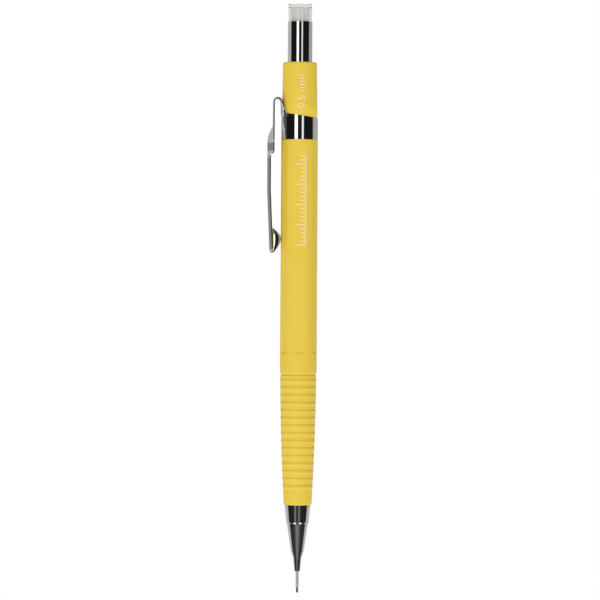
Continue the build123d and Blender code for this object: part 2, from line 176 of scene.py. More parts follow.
class ClipSizes(PropertyGroup):
    """Heights and distances of the pocket clip, which is one bent strip of sheet."""

    sheet: length("Sheet", "Thickness of the clip's sheet", 0.29)
    arm_outside: length("Arm distance", "Distance of the flat strip's outer face from the axis", 6.57)
    lug_face: length("Lug distance", "Distance of the lug's flat outer face from the axis", 4.72)
    band_front: length("Band height at the clip", "Band height on the clip's side", 6.6)
    band_back: length("Band height opposite", "Band height on the far side", 5.25)
    band_radius: length("Band radius", "Outer radius of the band", 4.53)
    arm_half_width: length("Arm half width", "Half the width of the flat strip", 2.5)
    boat_start: length("Channel start", "Height above the shoulder where the channel rises", 3.6)
    boat_rise: length("Channel rise", "How far the channel stands out of the strip", 1.4)
    boat_run: length("Channel run", "Height over which the channel rises", 4.2)
    boat_half_width: length("Channel half width", "Half the width of the channel at its foot", 2.38)
    ledge_end: length("Ledge end", "Depth below the shoulder where the strip's ledges end", 2.9)
    ledge_run: length("Ledge run", "Height over which the ledges narrow", 1.3)
    spine_depth: length("Spine depth", "Depth of the curved lower arm", 0.80)
    spine_half_width: length("Spine half width", "Half the width of the lower arm", 1.95)
    crest_half_width: length("Crest half width", "Half the width of the lower arm's flat crest", 0.7)
    bend_drop: length("Bend drop", "Depth below the shoulder where the arm turns in", 12.5)
    foot_distance: length("Foot distance", "Distance of the arm's lower end from the axis", 7.3)
    bump_length: length("Bump length", "Height of the rounded bump", 6.6)
    bump_half_width: length("Bump half width", "Half the width of the rounded bump", 1.5)


class ButtonSizes(PropertyGroup):
    """Sizes of the button tube, the eraser and its cap."""

    tube_wall: length("Tube wall", "Wall of the button tube", 0.19)
    cap_radius: length("Cap radius", "Outer radius of the cap", 2.9)
    cap_wall: length("Cap wall", "Wall of the cap", 0.42)
    cap_roof: length("Cap roof", "Thickness of the cap's top", 0.9)
    cap_height: length("Cap height", "Height of the cap above the tube", 4.5)
    coil_turns: FloatProperty(name="Coil turns", description="Turns of the return spring", default=11.0)
    wire: length("Wire", "Thickness of the spring's wire", 0.4)


class PrintSizes(PropertyGroup):
    """The printed marks: a lead size on the neck and a short scale on the front flat."""

    figures: StringProperty(name="Figures", description="The lead size on the neck", default="0.5")
    figure_height: length("Figure height", "Height of the printed figures", 1.87)
    figure_foot: length("Figure foot", "Height of the first figure's foot", 118.6)
    baseline: length("Baseline", "Distance of the marks' baseline to the right of the axis", 1.05)
    tick_count: IntProperty(name="Ticks", description="Ticks of the printed scale", default=23, min=2)
    tick_pitch: length("Tick pitch", "Distance between two ticks", 1.0)
    scale_foot: length("Scale foot", "Height of the scale's first tick", 84.8)
    stroke: length("Stroke", "Width of a printed line", 0.22)


class Colours(PropertyGroup):
    """Colours of the finishes, in linear light."""

    barrel: tint("Barrel", "Moulded yellow plastic", (0.80, 0.57, 0.060))
    ink: tint("Ink", "Printed marks", (0.90, 0.74, 0.48))
    chrome: tint("Chrome", "Bright plate of the clip and tube", (0.81, 0.82, 0.80))
    cone: tint("Cone", "Darker plate of the cone", (0.47, 0.48, 0.485))
    sleeve: tint("Sleeve", "Bright drawn steel of the sleeve", (0.95, 0.95, 0.91))
    steel: tint("Steel", "Drawn steel of the spring", (0.62, 0.62, 0.59))
    brass: tint("Brass", "Turned brass of the clutch", (0.68, 0.48, 0.20))
    graphite: tint("Graphite", "Lead", (0.055, 0.055, 0.058))
    eraser: tint("Eraser", "White vinyl", (0.90, 0.90, 0.87))
    cap: tint("Cap", "Clear cap", (0.985, 1.0, 0.975))
    natural: tint("Natural plastic", "Inner mouldings", (0.70, 0.70, 0.66))
    rubber: tint("Rubber", "Lead retainer", (0.02, 0.02, 0.02))


class StudioSizes(PropertyGroup):
    """The camera and the studio round the pencil."""

    azimuth: FloatProperty(
        name="Azimuth", description="Camera's turn round the pencil, degrees", default=-2.8
    )
    roll: FloatProperty(name="Roll", description="Camera's roll, degrees", default=0.32)
    distance: length("Distance", "From the camera to the pencil's axis", 786.0)
    shift: length("Side shift", "How far the camera stands to the right of the axis", 0.33)
    eye: length("Eye height", "Height of the camera above the sleeve's mouth", 71.25)
    lens: FloatProperty(name="Lens", description="Focal length on a 36 mm sensor, mm", default=190.2)
    floor_drop: length("Floor drop", "How far the floor lies under the lead", 45.0)


# Meshes
def rounded(corners, steps=4, closed=False):
    """An outline from (radius, height, rounding) corners: each rounding is an arc, with a support
    point just outside each of its ends so that shading stays flat up to it."""
    count = len(corners)
    outline = []
    for index, (radius, height, rounding) in enumerate(corners):
        corner = Vector((radius, height))
        ends = not closed and index in (0, count - 1)
        if rounding <= 0 or ends:
            outline.append(corner)
            continue
        before = Vector(corners[index - 1][:2]) - corner
        after = Vector(corners[(index + 1) % count][:2]) - corner
        reach_in = min(rounding, 0.4 * before.length)
        reach_out = min(rounding, 0.4 * after.length)
        start = corner + before.normalized() * reach_in
        end = corner + after.normalized() * reach_out
        outline.append(corner + before.normalized() * reach_in * 1.2)
        for step in range(steps + 1):
            t = step / steps
            outline.append((1 - t) ** 2 * start + 2 * t * (1 - t) * corner + t**2 * end)
        outline.append(corner + after.normalized() * reach_out * 1.2)
    return [(point.x, point.y) for point in outline]


def loft_rows(shape, rows, wrap=True):
    """Faces between successive rows of vertices; a row of one vertex closes to a point."""
    for lower, upper in zip(rows, rows[1:]):
        count = max(len(lower), len(upper))
        for index in range(count if wrap else count - 1):
            other = (index + 1) % count
            corners = (
                lower[index % len(lower)],
                lower[other % len(lower)],
                upper[other % len(upper)],
                upper[index % len(upper)],
            )
            distinct = list(dict.fromkeys(corners))
            if len(distinct) > 2:
                shape.faces.new(distinct)


def new_object(name, shape, material, sharp=32.0):
    """Turns a bmesh into a linked object with smooth faces, sharp only at edges over that angle."""
    mesh = bpy.data.meshes.new(name)
    shape.to_mesh(mesh)
    shape.free()
    obj = bpy.data.objects.new(name, mesh)
    bpy.context.scene.collection.objects.link(obj)
    obj.data.materials.append(material)
    shade(obj, sharp)
    return obj


def shade(obj, sharp=32.0):
    """Smooth shading with sharp edges where two faces meet at more than that angle."""
    mesh = obj.data
    mesh.polygons.foreach_set("use_smooth", [True] * len(mesh.polygons))
    mesh.set_sharp_from_angle(angle=math.radians(sharp))


def turned(name, outline, material, segments=96, closed=False, sharp=32.0):
    """A piece turned about the pencil's axis from (radius, height) points."""
    shape = bmesh.new()
    angles = [2 * math.pi * index / segments for index in range(segments)]
    rows = []
    for radius, height in outline:
        if radius < TINY:
            rows.append([shape.verts.new((0, 0, height))])
        else:
            rows.append(
                [shape.verts.new((radius * math.cos(a), radius * math.sin(a), height)) for a in angles]
            )
    if closed:
        rows.append(rows[0])
    loft_rows(shape, rows)
    bmesh.ops.recalc_face_normals(shape, faces=shape.faces)
    return new_object(name, shape, material, sharp)


def baked(obj):
    """Replaces an object's mesh by its evaluated one and drops its modifiers."""
    depsgraph = bpy.context.evaluated_depsgraph_get()
    mesh = bpy.data.meshes.new_from_object(obj.evaluated_get(depsgraph), depsgraph=depsgraph)
    obj.modifiers.clear()
    obj.data = mesh
    return obj


def outward(obj):
    """Points every face of a closed mesh outwards."""
    shape = bmesh.new()
    shape.from_mesh(obj.data)
    bmesh.ops.remove_doubles(shape, verts=shape.verts, dist=1e-7)
    bmesh.ops.recalc_face_normals(shape, faces=shape.faces)
    shape.to_mesh(obj.data)
    shape.free()
    return obj


def joined(name, objects):
    """Several mesh objects made one."""
    shape = bmesh.new()
    for obj in objects:
        shape.from_mesh(obj.data)
    material = objects[0].data.materials[0]
    for obj in objects:
        bpy.data.objects.remove(obj)
    return new_object(name, shape, material)


def mapped(value, low, high):
    """0 below low, 1 above high, and a smooth step between."""
    share = min(max((value - low) / (high - low), 0.0), 1.0)
    return share * share * (3 - 2 * share)


# Node trees
def add_node(tree, kind, inputs=None, **settings):
    """A node with its settings and inputs, where an input is a value or another node's socket."""
    node = tree.nodes.new(kind)
    for key, value in settings.items():
        setattr(node, key, value)
    for key, value in (inputs or {}).items():
        if isinstance(value, bpy.types.NodeSocket):
            tree.links.new(value, node.inputs[key])
        else:
            node.inputs[key].default_value = value
    return node


def calculator(tree):
    """A function that adds one Math node to the tree and returns its result."""

    def calculate(operation, *values):
        node = add_node(tree, "ShaderNodeMath", dict(enumerate(values)), operation=operation)
        return node.outputs[0]

    return calculate


def new_tree(name, kind, inputs, outputs):
    """A node tree with named sockets, and its input and output nodes."""
    tree = bpy.data.node_groups.new(name, kind)
    for in_out, sockets in (("INPUT", inputs), ("OUTPUT", outputs)):
        for title, socket_type, *default in sockets:
            socket = tree.interface.new_socket(title, in_out=in_out, socket_type=socket_type)
            if default:
                socket.default_value = default[0]
    return tree, tree.nodes.new("NodeGroupInput"), tree.nodes.new("NodeGroupOutput")


def run_tree(obj, tree, values):
    """Runs a geometry tree on an object with its named inputs, and keeps the resulting mesh."""
    modifier = obj.modifiers.new(tree.name, "NODES")
    modifier.node_group = tree
    for item in tree.interface.items_tree:
        if item.item_type == "SOCKET" and item.in_out == "INPUT" and item.name in values:
            modifier[item.identifier] = values[item.name]
    baked(obj)
    obj.data.materials.clear()
    obj.data.materials.append(values["Material"])
    return obj


def carrier(name, material):
    """An empty mesh object for a geometry tree that makes all of its own geometry."""
    return new_object(name, bmesh.new(), material)


FLOAT = "NodeSocketFloat"
WHOLE = "NodeSocketInt"
SHAPE = "NodeSocketGeometry"
STUFF = "NodeSocketMaterial"
POINT = "NodeSocketVector"


def grip_tree():
    """Geometry tree of the ribbed grip's skin. Each ring takes nine rows of a grid, wrapped round
    the axis; the grip joins the rest of the barrel, which comes in as Geometry."""
    tree, given, result = new_tree(
        "ribbed_grip",
        "GeometryNodeTree",
        [
            ("Geometry", SHAPE),
            ("Segments", WHOLE, 180),
            ("Grooves", WHOLE, 15),
            ("Pitch", FLOAT),
            ("Groove Width", FLOAT),
            ("Groove Depth", FLOAT),
            ("Flank", FLOAT),
            ("Foot", FLOAT),
            ("Top", FLOAT),
            ("Foot Radius", FLOAT),
            ("Top Radius", FLOAT),
            ("Bulge", FLOAT),
            ("Material", STUFF),
        ],
        [("Geometry", SHAPE)],
    )
    calc = calculator(tree)
    value = given.outputs
    rows_per_ring = 9
    row_total = calc("MULTIPLY", value["Grooves"], rows_per_ring)
    grid = add_node(
        tree,
        "GeometryNodeMeshGrid",
        {
            "Size X": 1.0,
            "Size Y": 1.0,
            "Vertices X": calc("ADD", value["Segments"], 1),
            "Vertices Y": calc("ADD", row_total, 1),
        },
    )
    position = tree.nodes.new("GeometryNodeInputPosition")
    place = add_node(tree, "ShaderNodeSeparateXYZ", {0: position.outputs[0]})
    turn = calc("MULTIPLY", calc("ADD", place.outputs["X"], 0.5), 2 * math.pi)
    row = calc("ROUND", calc("MULTIPLY", calc("ADD", place.outputs["Y"], 0.5), row_total))
    ring = calc("FLOOR", calc("DIVIDE", calc("ADD", row, 0.01), rows_per_ring))
    step = calc("SUBTRACT", row, calc("MULTIPLY", ring, rows_per_ring))

    # Going down: the ring's top edge and side, then a soft valley, a low bead and the sharp groove
    above = (
        value["Pitch"],
        calc("SUBTRACT", value["Pitch"], calc("MULTIPLY", value["Groove Depth"], 0.4)),
        calc("ADD", value["Groove Width"], calc("MULTIPLY", value["Flank"], 1.5)),
        calc("ADD", value["Groove Width"], calc("MULTIPLY", value["Flank"], 0.85)),
        calc("ADD", value["Groove Width"], calc("MULTIPLY", value["Flank"], 0.25)),
        calc("MULTIPLY", value["Groove Width"], 0.7),
        calc("MULTIPLY", value["Groove Width"], 0.5),
        calc("MULTIPLY", value["Groove Width"], 0.14),
        calc("MULTIPLY", value["Groove Width"], 0.04),
    )
    drops = [calc("SUBTRACT", value["Pitch"], rise) for rise in above]
    depths = (RING_EDGE, 0.0, 0.0, 0.5, 0.6, 0.12, 0.2, 0.8, 0.85)
    chosen = []
    for table in (drops, depths):
        switch = add_node(tree, "GeometryNodeIndexSwitch", data_type="FLOAT")
        while len(switch.index_switch_items) < rows_per_ring:
            switch.index_switch_items.new()
        tree.links.new(step, switch.inputs["Index"])
        for number, entry in enumerate(table):
            socket = switch.inputs[number + 1]
            if isinstance(entry, bpy.types.NodeSocket):
                tree.links.new(entry, socket)
            else:
                socket.default_value = entry
        chosen.append(switch.outputs[0])

    ring_height = calc("SUBTRACT", value["Top"], calc("MULTIPLY", ring, value["Pitch"]))
    height = calc("SUBTRACT", ring_height, chosen[0])
    grip_height = calc("SUBTRACT", value["Top"], value["Foot"])
    share = calc("DIVIDE", calc("SUBTRACT", height, value["Foot"]), grip_height)
    widening = calc("MULTIPLY", calc("SUBTRACT", value["Top Radius"], value["Foot Radius"]), share)
    arch = calc("MULTIPLY", share, calc("SUBTRACT", 1.0, share))
    bow = calc("MULTIPLY", arch, calc("MULTIPLY", value["Bulge"], 4.0))
    crest = calc("ADD", calc("ADD", value["Foot Radius"], widening), bow)
    radius = calc("SUBTRACT", crest, calc("MULTIPLY", chosen[1], value["Groove Depth"]))
    spot = add_node(
        tree,
        "ShaderNodeCombineXYZ",
        {
            "X": calc("MULTIPLY", radius, calc("COSINE", turn)),
            "Y": calc("MULTIPLY", radius, calc("SINE", turn)),
            "Z": height,
        },
    )
    wrapped = add_node(
        tree, "GeometryNodeSetPosition", {"Geometry": grid.outputs["Mesh"], "Position": spot.outputs[0]}
    )
    both = tree.nodes.new("GeometryNodeJoinGeometry")
    tree.links.new(value["Geometry"], both.inputs[0])
    tree.links.new(wrapped.outputs[0], both.inputs[0])
    merged = add_node(tree, "GeometryNodeMergeByDistance", {"Geometry": both.outputs[0], "Distance": 2e-6})
    real = add_node(tree, "GeometryNodeRealizeInstances", {"Geometry": merged.outputs[0]})
    painted = add_node(
        tree, "GeometryNodeSetMaterial", {"Geometry": real.outputs[0], "Material": value["Material"]}
    )
    tree.links.new(painted.outputs[0], result.inputs[0])
    return tree


def coil_tree():
    """Geometry tree of a round wire wound about the axis, with a closed turn at each end."""
    tree, given, result = new_tree(
        "wound_coil",
        "GeometryNodeTree",
        [
            ("Turns", FLOAT),
            ("Radius", FLOAT),
            ("Foot", FLOAT),
            ("Height", FLOAT),
            ("Wire", FLOAT),
            ("Closed Pitch", FLOAT),
            ("Sides", WHOLE, 12),
            ("Material", STUFF),
        ],
        [("Geometry", SHAPE)],
    )
    calc = calculator(tree)
    value = given.outputs
    line = add_node(
        tree,
        "GeometryNodeCurveSpiral",
        {
            "Resolution": 48,
            "Rotations": value["Turns"],
            "Start Radius": value["Radius"],
            "End Radius": value["Radius"],
            "Height": 0.0,
        },
    )
    along = tree.nodes.new("GeometryNodeSplineParameter").outputs["Factor"]
    turn = calc("MULTIPLY", along, value["Turns"])
    last = calc("SUBTRACT", value["Turns"], 1.0)
    open_rise = calc("SUBTRACT", value["Height"], calc("MULTIPLY", value["Closed Pitch"], 2.0))
    rises = []
    for low, high, rise in (
        (0.0, 1.0, value["Closed Pitch"]),
        (1.0, last, open_rise),
        (last, value["Turns"], value["Closed Pitch"]),
    ):
        stretch = add_node(
            tree,
            "ShaderNodeMapRange",
            {"Value": turn, "From Min": low, "From Max": high, "To Min": 0.0, "To Max": rise},
        )
        rises.append(stretch.outputs[0])
    height = calc("ADD", value["Foot"], calc("ADD", rises[0], calc("ADD", rises[1], rises[2])))
    lift = add_node(tree, "ShaderNodeCombineXYZ", {"Z": height})
    raised = add_node(
        tree, "GeometryNodeSetPosition", {"Geometry": line.outputs["Curve"], "Offset": lift.outputs[0]}
    )
    section = add_node(
        tree,
        "GeometryNodeCurvePrimitiveCircle",
        {"Resolution": value["Sides"], "Radius": calc("DIVIDE", value["Wire"], 2.0)},
    )
    wire = add_node(
        tree,
        "GeometryNodeCurveToMesh",
        {"Curve": raised.outputs[0], "Profile Curve": section.outputs["Curve"], "Fill Caps": True},
    )
    real = add_node(tree, "GeometryNodeRealizeInstances", {"Geometry": wire.outputs[0]})
    painted = add_node(
        tree, "GeometryNodeSetMaterial", {"Geometry": real.outputs[0], "Material": value["Material"]}
    )
    tree.links.new(painted.outputs[0], result.inputs[0])
    return tree


def scale_tree():
    """Geometry tree of a printed scale: ticks standing on a base line, every fifth one longer."""
    tree, given, result = new_tree(
        "printed_scale",
        "GeometryNodeTree",
        [
            ("Ticks", WHOLE, 23),
            ("Pitch", FLOAT),
            ("Foot", FLOAT),
            ("Baseline", FLOAT),
            ("Face", FLOAT),
            ("Short Tick", FLOAT),
            ("Long Tick", FLOAT),
            ("Every", FLOAT, 5.0),
            ("Stroke", FLOAT),
            ("Thickness", FLOAT),
            ("Material", STUFF),
        ],
        [("Geometry", SHAPE)],
    )
    calc = calculator(tree)
    value = given.outputs
    pitch = add_node(tree, "ShaderNodeCombineXYZ", {"Z": value["Pitch"]})
    start = add_node(
        tree, "ShaderNodeCombineXYZ", {"X": value["Baseline"], "Y": value["Face"], "Z": value["Foot"]}
    )
    points = add_node(
        tree,
        "GeometryNodeMeshLine",
        {"Count": value["Ticks"], "Start Location": start.outputs[0], "Offset": pitch.outputs[0]},
    )
    number = tree.nodes.new("GeometryNodeInputIndex").outputs[0]
    is_long = calc("LESS_THAN", calc("MODULO", number, value["Every"]), 0.5)
    extra = calc("MULTIPLY", calc("SUBTRACT", value["Long Tick"], value["Short Tick"]), is_long)
    reach = calc("ADD", value["Short Tick"], extra)
    size = add_node(
        tree, "ShaderNodeCombineXYZ", {"X": reach, "Y": value["Thickness"], "Z": value["Stroke"]}
    )
    cube = add_node(tree, "GeometryNodeMeshCube", {"Size": (1.0, 1.0, 1.0)})
    nudge = add_node(
        tree, "GeometryNodeTransform", {"Geometry": cube.outputs["Mesh"], "Translation": (-0.5, 0.0, 0.0)}
    )
    ticks = add_node(
        tree,
        "GeometryNodeInstanceOnPoints",
        {"Points": points.outputs[0], "Instance": nudge.outputs[0], "Scale": size.outputs[0]},
    )
    run = calc("MULTIPLY", value["Pitch"], calc("SUBTRACT", value["Ticks"], 1.0))
    line_size = add_node(
        tree,
        "ShaderNodeCombineXYZ",
        {"X": value["Stroke"], "Y": value["Thickness"], "Z": calc("ADD", run, value["Stroke"])},
    )
    line = add_node(tree, "GeometryNodeMeshCube", {"Size": line_size.outputs[0]})
    line_place = add_node(
        tree,
        "ShaderNodeCombineXYZ",
        {
            "X": calc("ADD", value["Baseline"], calc("DIVIDE", value["Stroke"], 2.0)),
            "Y": value["Face"],
            "Z": calc("ADD", value["Foot"], calc("DIVIDE", run, 2.0)),
        },
    )
    placed = add_node(
        tree,
        "GeometryNodeTransform",
        {"Geometry": line.outputs["Mesh"], "Translation": line_place.outputs[0]},
    )
    both = tree.nodes.new("GeometryNodeJoinGeometry")
    tree.links.new(ticks.outputs[0], both.inputs[0])
    tree.links.new(placed.outputs[0], both.inputs[0])
    real = add_node(tree, "GeometryNodeRealizeInstances", {"Geometry": both.outputs[0]})
    painted = add_node(
        tree, "GeometryNodeSetMaterial", {"Geometry": real.outputs[0], "Material": value["Material"]}
    )
    tree.links.new(painted.outputs[0], result.inputs[0])
    return tree


# Shader groups
def moulded_grain_group():
    """Fine grain of a moulded or rubbed surface: a height, and a slow mottle for colour."""
    tree, given, result = new_tree(
        "moulded_grain",
        "ShaderNodeTree",
        [("Vector", POINT), ("Fine", FLOAT, 9000.0), ("Coarse", FLOAT, 250.0)],
        [("Height", FLOAT), ("Mottle", FLOAT)],
    )
    calc = calculator(tree)
    fine = add_node(
        tree,
        "ShaderNodeTexNoise",
        {"Vector": given.outputs["Vector"], "Scale": given.outputs["Fine"], "Detail": 3.0, "Roughness": 0.6},
    )
    coarse = add_node(
        tree,
        "ShaderNodeTexNoise",
        {
            "Vector": given.outputs["Vector"],
            "Scale": given.outputs["Coarse"],
            "Detail": 2.0,
            "Roughness": 0.5,
        },
    )
    relief = calc("ADD", calc("MULTIPLY", coarse.outputs[0], 0.6), fine.outputs[0])
    tree.links.new(relief, result.inputs["Height"])
    tree.links.new(coarse.outputs[0], result.inputs["Mottle"])
    return tree


def smudge_group():
    """Handling marks on a bright surface: a mask of faint smears and thin scratches."""
    tree, given, result = new_tree(
        "handling_smudges",
        "ShaderNodeTree",
        [("Vector", POINT), ("Smear Scale", FLOAT, 180.0), ("Scratch Scale", FLOAT, 900.0)],
        [("Smear", FLOAT), ("Scratch", FLOAT)],
    )
    smear = add_node(
        tree,
        "ShaderNodeTexNoise",
        {
            "Vector": given.outputs["Vector"],
            "Scale": given.outputs["Smear Scale"],
            "Detail": 4.0,
            "Distortion": 0.6,
        },
    )
    smear_mask = add_node(
        tree, "ShaderNodeMapRange", {"Value": smear.outputs[0], "From Min": 0.45, "From Max": 0.75}
    )
    stretch = add_node(
        tree,
        "ShaderNodeMapping",
        {"Vector": given.outputs["Vector"], "Scale": (1.0, 1.0, 0.06)},
        vector_type="POINT",
    )
    scratch = add_node(
        tree,
        "ShaderNodeTexNoise",
        {
            "Vector": stretch.outputs[0],
            "Scale": given.outputs["Scratch Scale"],
            "Detail": 2.0,
            "Roughness": 0.7,
        },
    )
    scratch_mask = add_node(
        tree, "ShaderNodeMapRange", {"Value": scratch.outputs[0], "From Min": 0.62, "From Max": 0.72}
    )
    tree.links.new(smear_mask.outputs[0], result.inputs["Smear"])
    tree.links.new(scratch_mask.outputs[0], result.inputs["Scratch"])
    return tree


def turning_group():
    """Fine rings left by a lathe tool, as a height that changes only along the axis."""
    tree, given, result = new_tree(
        "turning_marks",
        "ShaderNodeTree",
        [("Vector", POINT), ("Scale", FLOAT, 6000.0)],
        [("Height", FLOAT)],
    )
    flatten = add_node(
        tree,
        "ShaderNodeMapping",
        {"Vector": given.outputs["Vector"], "Scale": (0.0, 0.0, 1.0)},
        vector_type="POINT",
    )
    rings = add_node(
        tree,
        "ShaderNodeTexNoise",
        {"Vector": flatten.outputs[0], "Scale": given.outputs["Scale"], "Detail": 3.0, "Roughness": 0.7},
    )
    tree.links.new(rings.outputs[0], result.inputs["Height"])
    return tree


def dust_group():
    """Sparse specks of dust and graphite, as a mask."""
    tree, given, result = new_tree(
        "dust_specks",
        "ShaderNodeTree",
        [("Vector", POINT), ("Scale", FLOAT, 1500.0), ("Amount", FLOAT, 0.1)],
        [("Specks", FLOAT)],
    )
    calc = calculator(tree)
    cells = add_node(
        tree, "ShaderNodeTexVoronoi", {"Vector": given.outputs["Vector"], "Scale": given.outputs["Scale"]}
    )
    size = calc("MULTIPLY", given.outputs["Amount"], add_node(
        tree, "ShaderNodeSeparateColor", {0: cells.outputs["Color"]}
    ).outputs[0])
    specks = calc("LESS_THAN", cells.outputs["Distance"], size)
    tree.links.new(specks, result.inputs["Specks"])
    return tree


# Finishes
class Finish:
    """One material under construction: a Principled shader read on Object coordinates."""

    def __init__(self, name, **sockets):
        self.material = bpy.data.materials.new(name + FINISH_MARK)
        self.material.use_nodes = True
        self.tree = self.material.node_tree
        self.shader = self.tree.nodes["Principled BSDF"]
        self.where = self.tree.nodes.new("ShaderNodeTexCoord").outputs["Object"]
        self.calc = calculator(self.tree)
        for title, value in sockets.items():
            self.shader.inputs[title.replace("_", " ")].default_value = value

    def group(self, name, **inputs):
        """One of the shared shader groups, fed with this piece's coordinates."""
        node = self.tree.nodes.new("ShaderNodeGroup")
        node.node_tree = bpy.data.node_groups[name]
        self.tree.links.new(self.where, node.inputs["Vector"])
        for title, value in inputs.items():
            node.inputs[title.replace("_", " ")].default_value = value
        return node.outputs

    def ranged(self, value, low, high):
        """A 0 to 1 value spread over low to high."""
        return add_node(
            self.tree, "ShaderNodeMapRange", {"Value": value, "To Min": low, "To Max": high}
        ).outputs[0]

    def mix(self, factor, first, second):
        """Two colours mixed by a mask."""
        node = add_node(self.tree, "ShaderNodeMix", {0: factor}, data_type="RGBA")
        for socket, colour in ((node.inputs[6], first), (node.inputs[7], second)):
            if isinstance(colour, bpy.types.NodeSocket):
                self.tree.links.new(colour, socket)
            else:
                socket.default_value = (*colour, 1.0)
        return node.outputs[2]

    def feed(self, title, socket):
        """Links a value that changes over the surface to one of the shader's inputs."""
        self.tree.links.new(socket, self.shader.inputs[title])

    def bump(self, height, distance, strength=1.0):
        """Relief from a height, as deep as distance."""
        node = add_node(
            self.tree, "ShaderNodeBump", {"Height": height, "Distance": distance, "Strength": strength}
        )
        self.tree.links.new(node.outputs[0], self.shader.inputs["Normal"])


def shaded(colour, factor):
    """A colour made darker or lighter by a factor."""
    return tuple(min(part * factor, 1.0) for part in colour)


def barrel_finish(colours):
    """Satin yellow plastic: a faint moulded grain, a slow mottle and a few graphite specks."""
    finish = Finish("yellow_plastic", Metallic=0.0, IOR=1.49, Specular_IOR_Level=0.28)
    grain = finish.group("moulded_grain", Fine=7000.0, Coarse=160.0)
    specks = finish.group("dust_specks", Scale=420.0, Amount=0.05)
    plain = finish.mix(grain["Mottle"], shaded(colours.barrel, 0.97), shaded(colours.barrel, 1.03))
    speck_share = finish.ranged(specks["Specks"], 0.0, 0.25)
    finish.feed("Base Color", finish.mix(speck_share, plain, shaded(colours.barrel, 0.5)))
    finish.feed("Roughness", finish.ranged(grain["Mottle"], 0.36, 0.46))
    finish.bump(grain["Height"], 0.006 * MM, 0.5)
    return finish.material


def ink_finish(colours):
    """Pad-printed cream ink, thin and slightly uneven."""
    finish = Finish("printed_ink", Metallic=0.0)
    grain = finish.group("moulded_grain", Fine=9000.0, Coarse=1200.0)
    mottled = finish.mix(grain["Mottle"], shaded(colours.ink, 0.94), shaded(colours.ink, 1.05))
    finish.feed("Base Color", mottled)
    finish.feed("Roughness", finish.ranged(grain["Mottle"], 0.45, 0.6))
    return finish.material


def plate_finish(name, colour, smooth, rough, ring_depth=0.0):
    """Bright plate: smears dull it a little, scratches break it, and turned pieces show rings."""
    finish = Finish(name, Metallic=1.0)
    marks = finish.group("handling_smudges")
    finish.feed("Base Color", finish.mix(marks["Scratch"], colour, shaded(colour, 0.9)))
    dull = finish.calc("MAXIMUM", marks["Smear"], finish.calc("MULTIPLY", marks["Scratch"], 0.8))
    finish.feed("Roughness", finish.ranged(dull, smooth, rough))
    if ring_depth:
        rings = finish.group("turning_marks")
        finish.bump(rings["Height"], ring_depth)
    return finish.material


def metal_finish(name, colour, smooth, rough, ring_depth, metallic=1.0):
    """Bare turned or drawn metal with tool rings and a slow change of tone."""
    finish = Finish(name, Metallic=metallic)
    grain = finish.group("moulded_grain", Fine=5000.0, Coarse=700.0)
    rings = finish.group("turning_marks")
    finish.feed("Base Color", finish.mix(grain["Mottle"], shaded(colour, 0.85), shaded(colour, 1.1)))
    finish.feed("Roughness", finish.ranged(grain["Mottle"], smooth, rough))
    finish.bump(rings["Height"], ring_depth)
    return finish.material


def graphite_finish(colours):
    """Polymer lead: dark, faintly metallic, with fine drawn streaks."""
    finish = Finish("graphite", Metallic=0.35)
    marks = finish.group("handling_smudges", Smear_Scale=1500.0, Scratch_Scale=6000.0)
    finish.feed("Base Color", finish.mix(marks["Smear"], colours.graphite, shaded(colours.graphite, 1.8)))
    finish.feed("Roughness", finish.ranged(marks["Smear"], 0.35, 0.6))
    finish.bump(marks["Scratch"], 0.004 * MM)
    return finish.material


def eraser_finish(colours):
    """Soft white vinyl with a chalky grain and a few grey specks."""
    finish = Finish("white_eraser", Metallic=0.0, Subsurface_Weight=0.08, Subsurface_Scale=0.5 * MM)
    grain = finish.group("moulded_grain", Fine=6000.0, Coarse=900.0)
    specks = finish.group("dust_specks", Scale=1100.0, Amount=0.09)
    plain = finish.mix(grain["Mottle"], shaded(colours.eraser, 0.95), colours.eraser)
    finish.feed("Base Color", finish.mix(finish.ranged(specks["Specks"], 0.0, 0.35), plain, (0.2, 0.2, 0.2)))
    finish.feed("Roughness", finish.ranged(grain["Mottle"], 0.6, 0.8))
    finish.bump(grain["Height"], 0.015 * MM)
    return finish.material


def cap_finish(colours):
    """Clear moulded plastic with faint haze from handling."""
    finish = Finish("clear_plastic", Metallic=0.0, Transmission_Weight=1.0, IOR=1.46)
    marks = finish.group("handling_smudges", Smear_Scale=500.0)
    finish.feed("Base Color", finish.mix(marks["Smear"], colours.cap, shaded(colours.cap, 0.96)))
    finish.feed("Roughness", finish.ranged(marks["Smear"], 0.02, 0.09))
    return finish.material


def plain_plastic_finish(name, colour, smooth, rough):
    """An inner moulding or rubber: grain and a slow change of sheen."""
    finish = Finish(name, Metallic=0.0)
    grain = finish.group("moulded_grain", Fine=5000.0, Coarse=500.0)
    finish.feed("Base Color", finish.mix(grain["Mottle"], shaded(colour, 0.92), shaded(colour, 1.05)))
    finish.feed("Roughness", finish.ranged(grain["Mottle"], smooth, rough))
    finish.bump(grain["Height"], 0.01 * MM)
    return finish.material


def stuff(name):
    """A finish by its name."""
    return bpy.data.materials[name + FINISH_MARK]


